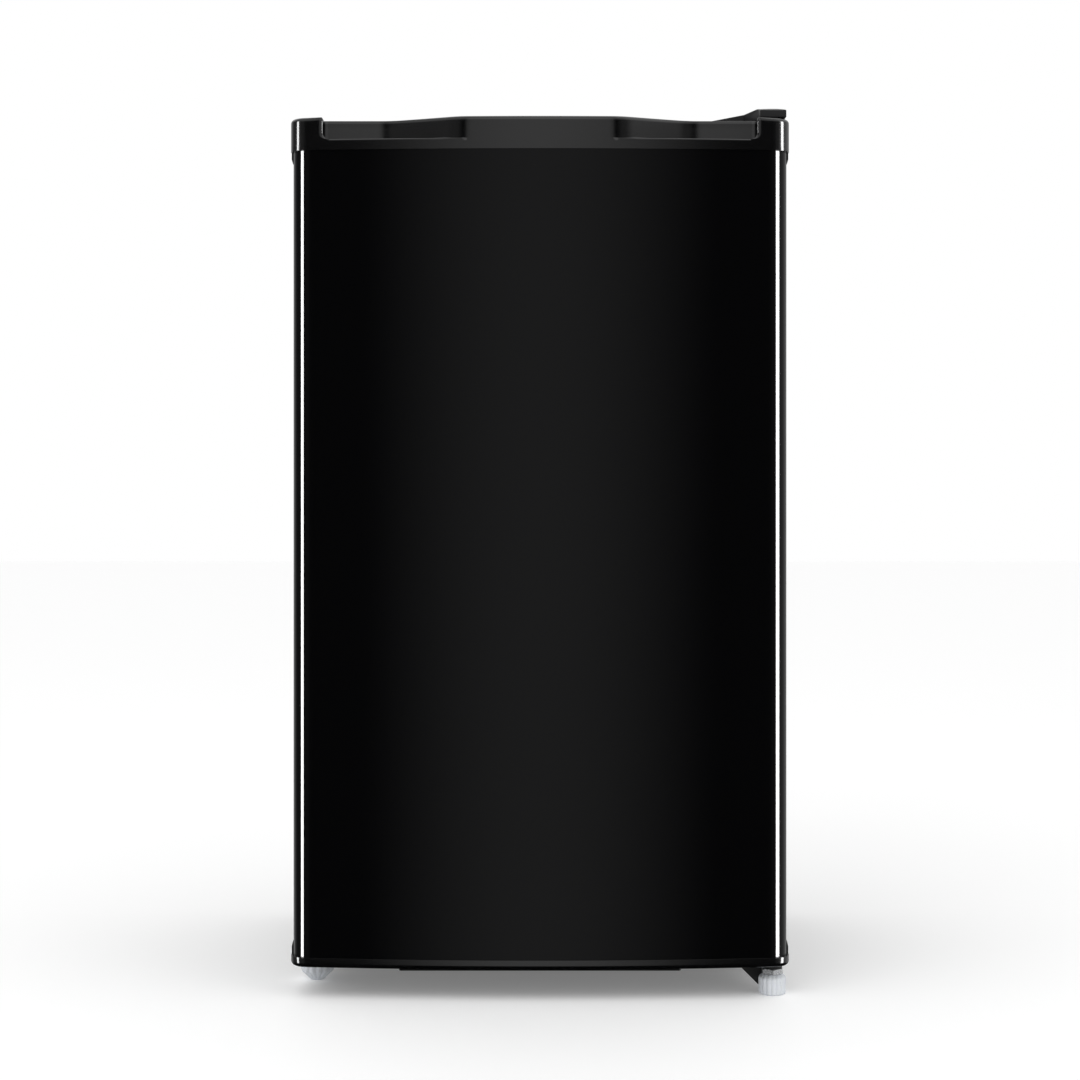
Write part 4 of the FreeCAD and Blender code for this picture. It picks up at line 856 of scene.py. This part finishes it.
def hardware():
    """Threaded bolts and lock nuts."""
    low, high = span("bottom_hinge_pin")
    pin_r, pin_low = 4 * MM, 24.9 * MM
    shank = shaped([(pin_low, pin_r), (high.z - MM, pin_r), (high.z, 3.1 * MM)])
    top = lathe(shank, [pin_low, high.z - MM, high.z - 0.5 * MM, high.z], (hinge.x, hinge.y, 0), 64)
    mesh = carve(threaded(low.z, THREAD_TOP, (hinge.x, hinge.y, 0)), [], [top])
    bolt = place("hinge_bolt", mesh, bright_zinc, "root", 30)
    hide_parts("bottom_hinge_pin")

    low, high = span("left_foot_bolt")
    centre = (low + high) / 2
    left = piece("left_bolt", threaded(low.z, high.z, (centre.x, centre.y, 0)), bright_zinc, "root", 30)
    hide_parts("left_foot_bolt")

    for name, x, y, floor in (("right_lock_nut", hinge.x, hinge.y, 19.4 * MM),
                              ("left_lock_nut", centre.x, centre.y, 20.4 * MM)):
        mesh = hex_nut((x, y, 0), floor)
        place(name, mesh, bright_zinc, "root", 30)
    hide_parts("foot_nuts")


def screw_heads():
    """Pan-head screws with a cross recess, over the CAD heads."""
    middle, r, tall = 0.5, 5 * MM, 2 * MM
    long, thin = 2.6 * MM, 0.5 * MM
    for number, (x, y, low, high) in enumerate(islands("hinge_screws")):
        up = high > middle
        seat = low if up else high
        profile = [(0, r), (0.5 * MM, r), (1.3 * MM, r * 0.86), (1.8 * MM, r * 0.6), (tall, r * 0.3)]
        dome = lathe(shaped(profile), [p[0] for p in profile], (0, 0, 0), 48)
        slots = []
        for turn in (0, 90):
            bar = prism([(-long, -thin), (long, -thin), (long, thin), (-long, thin)], 0.8 * MM, 3 * MM)
            spin = Matrix.Rotation(math.radians(turn + 20 * number), 3, "Z")
            bmesh.ops.rotate(bar, verts=bar.verts, matrix=spin)
            slots.append(bar)
        mesh = carve(dome, slots)
        flip = Matrix.Identity(4) if up else Matrix.Rotation(math.pi, 4, "X")
        mesh.transform(Matrix.Translation((x, y, seat)) @ flip)
        place(f"hinge_screw_{number + 1}", mesh, bright_zinc, "root", 30)
    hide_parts("hinge_screws")


def islands(node):
    """Centre and lowest and highest level of each separate solid of a CAD node."""
    bm = bmesh.new()
    bm.from_mesh(nodes[node].data)
    bmesh.ops.remove_doubles(bm, verts=bm.verts, dist=0.01 * MM)
    left = set(bm.verts)
    found = []
    while left:
        group, front = set(), [left.pop()]
        while front:
            vert = front.pop()
            group.add(vert)
            for edge in vert.link_edges:
                other = edge.other_vert(vert)
                if other in left:
                    left.discard(other)
                    front.append(other)
        xs, ys, zs = zip(*(v.co for v in group))
        found.append(((min(xs) + max(xs)) / 2, (min(ys) + max(ys)) / 2, min(zs), max(zs)))
    bm.free()
    return sorted(found)


def dial_marks():
    """Numerals 1 to 5 round the thermostat dial."""
    ink = print_ink()
    low, _ = span("thermostat_housing")
    centre = joint("thermostat_turn")
    ring, first, apart = 23 * MM, -120, 60
    for number in range(1, 6):
        angle = math.radians(first + apart * (number - 1))
        curve = bpy.data.curves.new(f"numeral_{number}", "FONT")
        curve.body = str(number)
        curve.size = 7 * MM
        curve.extrude = 0.15 * MM
        curve.align_x, curve.align_y = "CENTER", "CENTER"
        thing = bpy.data.objects.new("work", curve)
        bpy.context.collection.objects.link(thing)
        bpy.context.view_layer.update()
        mesh = bpy.data.meshes.new_from_object(thing.evaluated_get(bpy.context.evaluated_depsgraph_get()))
        bpy.data.objects.remove(thing)
        spot = Vector((low.x - 0.1 * MM, centre.y - ring * math.sin(angle),
                       centre.z + ring * math.cos(angle)))
        basis = Matrix(((0, 0, -1), (-1, 0, 0), (0, 1, 0))).to_4x4()
        mesh.transform(Matrix.Translation(spot) @ basis)
        numeral = place(f"dial_numeral_{number}", mesh, ink, "root")


# ---------------------------------------------------------------- studio

# Strip lights: name, radiance, and for each side the angles from the front between which it is seen
STRIPS = (("panel", 62, ((-1, 57, 73), (1, 54, 75))),
          ("caps", 13, ((-1, 63, 75), (1, 62, 80))))
FLOOR_HALF = 12
FLOOR_GLOW = 0.16


def studio(panel, caps):
    """Pale floor, background, the strips that light the door's edges, and two soft lamps."""
    scene = bpy.context.scene
    scene.view_settings.view_transform = "Standard"
    bm = bmesh.new()
    bmesh.ops.create_grid(bm, x_segments=8, y_segments=8, size=FLOOR_HALF)
    pale = Surface("floor_paint", (0.93, 0.93, 0.93), 0.7, Specular_IOR_Level=0.2)
    pale.tint(pale.noise(3), (0.93, 0.93, 0.93), (0.92, 0.92, 0.92))
    pale.shader.inputs["Emission Color"].default_value = (1, 1, 1, 1)
    pale.shader.inputs["Emission Strength"].default_value = FLOOR_GLOW
    floor = piece("floor", bm, pale, None)
    floor.visible_glossy = False
    world_light(scene)
    for (name, radiance, turns), things in zip(STRIPS, ([panel], caps)):
        lit = bpy.data.collections.new(name + "_lit")
        for thing in things:
            lit.objects.link(thing)
        for side, start, end in turns:
            strip_light(f"{name}_strip", side, math.radians(start), math.radians(end), radiance, lit)
    key = area_light("key", (-1.0, -1.8, 2.4), (0, 0, 0.4), 1.8, 1.8, 14)
    key.visible_glossy = False
    fill = area_light("fill", (1.6, -1.6, 1.2), (0, 0, 0.5), 1.2, 1.6, 5)
    fill.visible_glossy = False


def strip_light(name, side, start, end, radiance, lit):
    """Upright softbox seen in the rounded door edge of one side, between two angles from the front.
    It reaches only the pieces in lit."""
    far, tall = 1.5, 1.9
    wide, middle = 2 * far * math.sin((end - start) / 2), (start + end) / 2
    reach = far * math.cos((end - start) / 2)
    corner = Vector((side * 0.225, -0.2, 0.4))
    where = corner + reach * Vector((side * math.sin(middle), -math.cos(middle), 0))
    strip = area_light(name, where, corner, wide, tall, radiance * math.pi * wide * tall)
    strip.visible_diffuse = False
    strip.visible_transmission = False
    strip.light_linking.receiver_collection = lit


def area_light(name, where, target, wide, tall, power):
    light = bpy.data.lights.new(name, "AREA")
    light.shape = "RECTANGLE"
    light.size, light.size_y = wide, tall
    light.energy = power
    thing = bpy.data.objects.new(name, light)
    thing.location = where
    thing.rotation_euler = (Vector(target) - Vector(where)).to_track_quat("-Z", "Y").to_euler()
    bpy.context.collection.objects.link(thing)
    thing.visible_camera = False
    return thing


# The glow that the door's middle reflects, and the soft light on matt surfaces at eye level and per
# unit of height
GLOW_HALF = math.radians(14)
GLOW_STRENGTH = 0.46
SOFT_LEVEL = 0.6
SOFT_RISE = 0.45


def world_light(scene):
    """White to the eye, soft all round for matt surfaces, and a studio to reflect for gloss."""
    world = bpy.data.worlds.new("studio")
    scene.world = world
    world.use_nodes = True
    tree = world.node_tree
    tree.nodes.clear()

    def add(kind, **values):
        node = tree.nodes.new("ShaderNode" + kind)
        for key, value in values.items():
            setattr(node, key, value)
        return node

    def math_node(operation, a, b=None, c=None):
        node = add("Math", operation=operation)
        for socket, value in zip(node.inputs, (a, b, c)):
            if isinstance(value, (int, float)):
                socket.default_value = value
            elif value is not None:
                tree.links.new(value, socket)
        return node.outputs[0]

    def band(source, low, high, strength):
        """Smooth rise from 0 to a strength between two values."""
        node = add("MapRange", interpolation_type="SMOOTHSTEP")
        for socket, value in (("From Min", low), ("From Max", high), ("To Min", 0), ("To Max", strength)):
            node.inputs[socket].default_value = value
        tree.links.new(source, node.inputs["Value"])
        return node.outputs[0]

    split = add("SeparateXYZ")
    tree.links.new(add("TexCoord").outputs["Generated"], split.inputs[0])
    x, y, z = split.outputs
    flat = math_node("SQRT", math_node("MULTIPLY_ADD", x, x, math_node("MULTIPLY", y, y)))
    ahead = math_node("DIVIDE", math_node("MULTIPLY", y, -1), math_node("MAXIMUM", flat, 0.001))
    aside = math_node("DIVIDE", x, math_node("MAXIMUM", flat, 0.001))
    rim = math.cos(GLOW_HALF)
    glow = math_node("DIVIDE", math_node("SUBTRACT", ahead, rim), 1 - rim)
    glow = math_node("POWER", math_node("MAXIMUM", glow, 0), 1.5)
    total = math_node("MULTIPLY", glow, GLOW_STRENGTH)
    for part in (band(z, 0.28, 0.55, 0.42), band(aside, 0.62, 0.95, 0.36),
                 band(math_node("ABSOLUTE", aside), 0.3, 0.55, 0.1),
                 band(math_node("MULTIPLY", ahead, -1), 0.2, 0.9, 0.5)):
        total = math_node("ADD", total, part)
    total = math_node("MULTIPLY", total, band(z, -0.5, -0.3, 1))
    path = add("LightPath")
    round_it = math_node("MULTIPLY_ADD", z, SOFT_RISE, SOFT_LEVEL)
    gloss = math_node("MULTIPLY", path.outputs["Is Glossy Ray"], math_node("SUBTRACT", total, round_it))
    soft = math_node("ADD", gloss, round_it)
    seen = math_node("MULTIPLY_ADD", path.outputs["Is Camera Ray"], math_node("SUBTRACT", 1.0, soft), soft)
    background = add("Background")
    background.inputs["Color"].default_value = (1, 1, 1, 1)
    tree.links.new(seen, background.inputs["Strength"])
    tree.links.new(background.outputs[0], add("OutputWorld").inputs["Surface"])


def camera():
    """Level view from the front, a little over half the fridge's height."""
    lens = bpy.data.cameras.new("camera")
    lens.sensor_width = 36
    lens.lens = 70.5
    lens.shift_y = -0.0463
    thing = bpy.data.objects.new("camera", lens)
    thing.location = (0, -2.212, 0.481)
    thing.rotation_euler = (math.pi / 2, 0, 0)
    bpy.context.collection.objects.link(thing)
    bpy.context.scene.camera = thing


finish_cad_nodes()
front_panel = door_panel()
front_caps = door_caps()
gasket()
feet()
hardware()
screw_heads()
dial_marks()
studio(front_panel, front_caps)
camera()
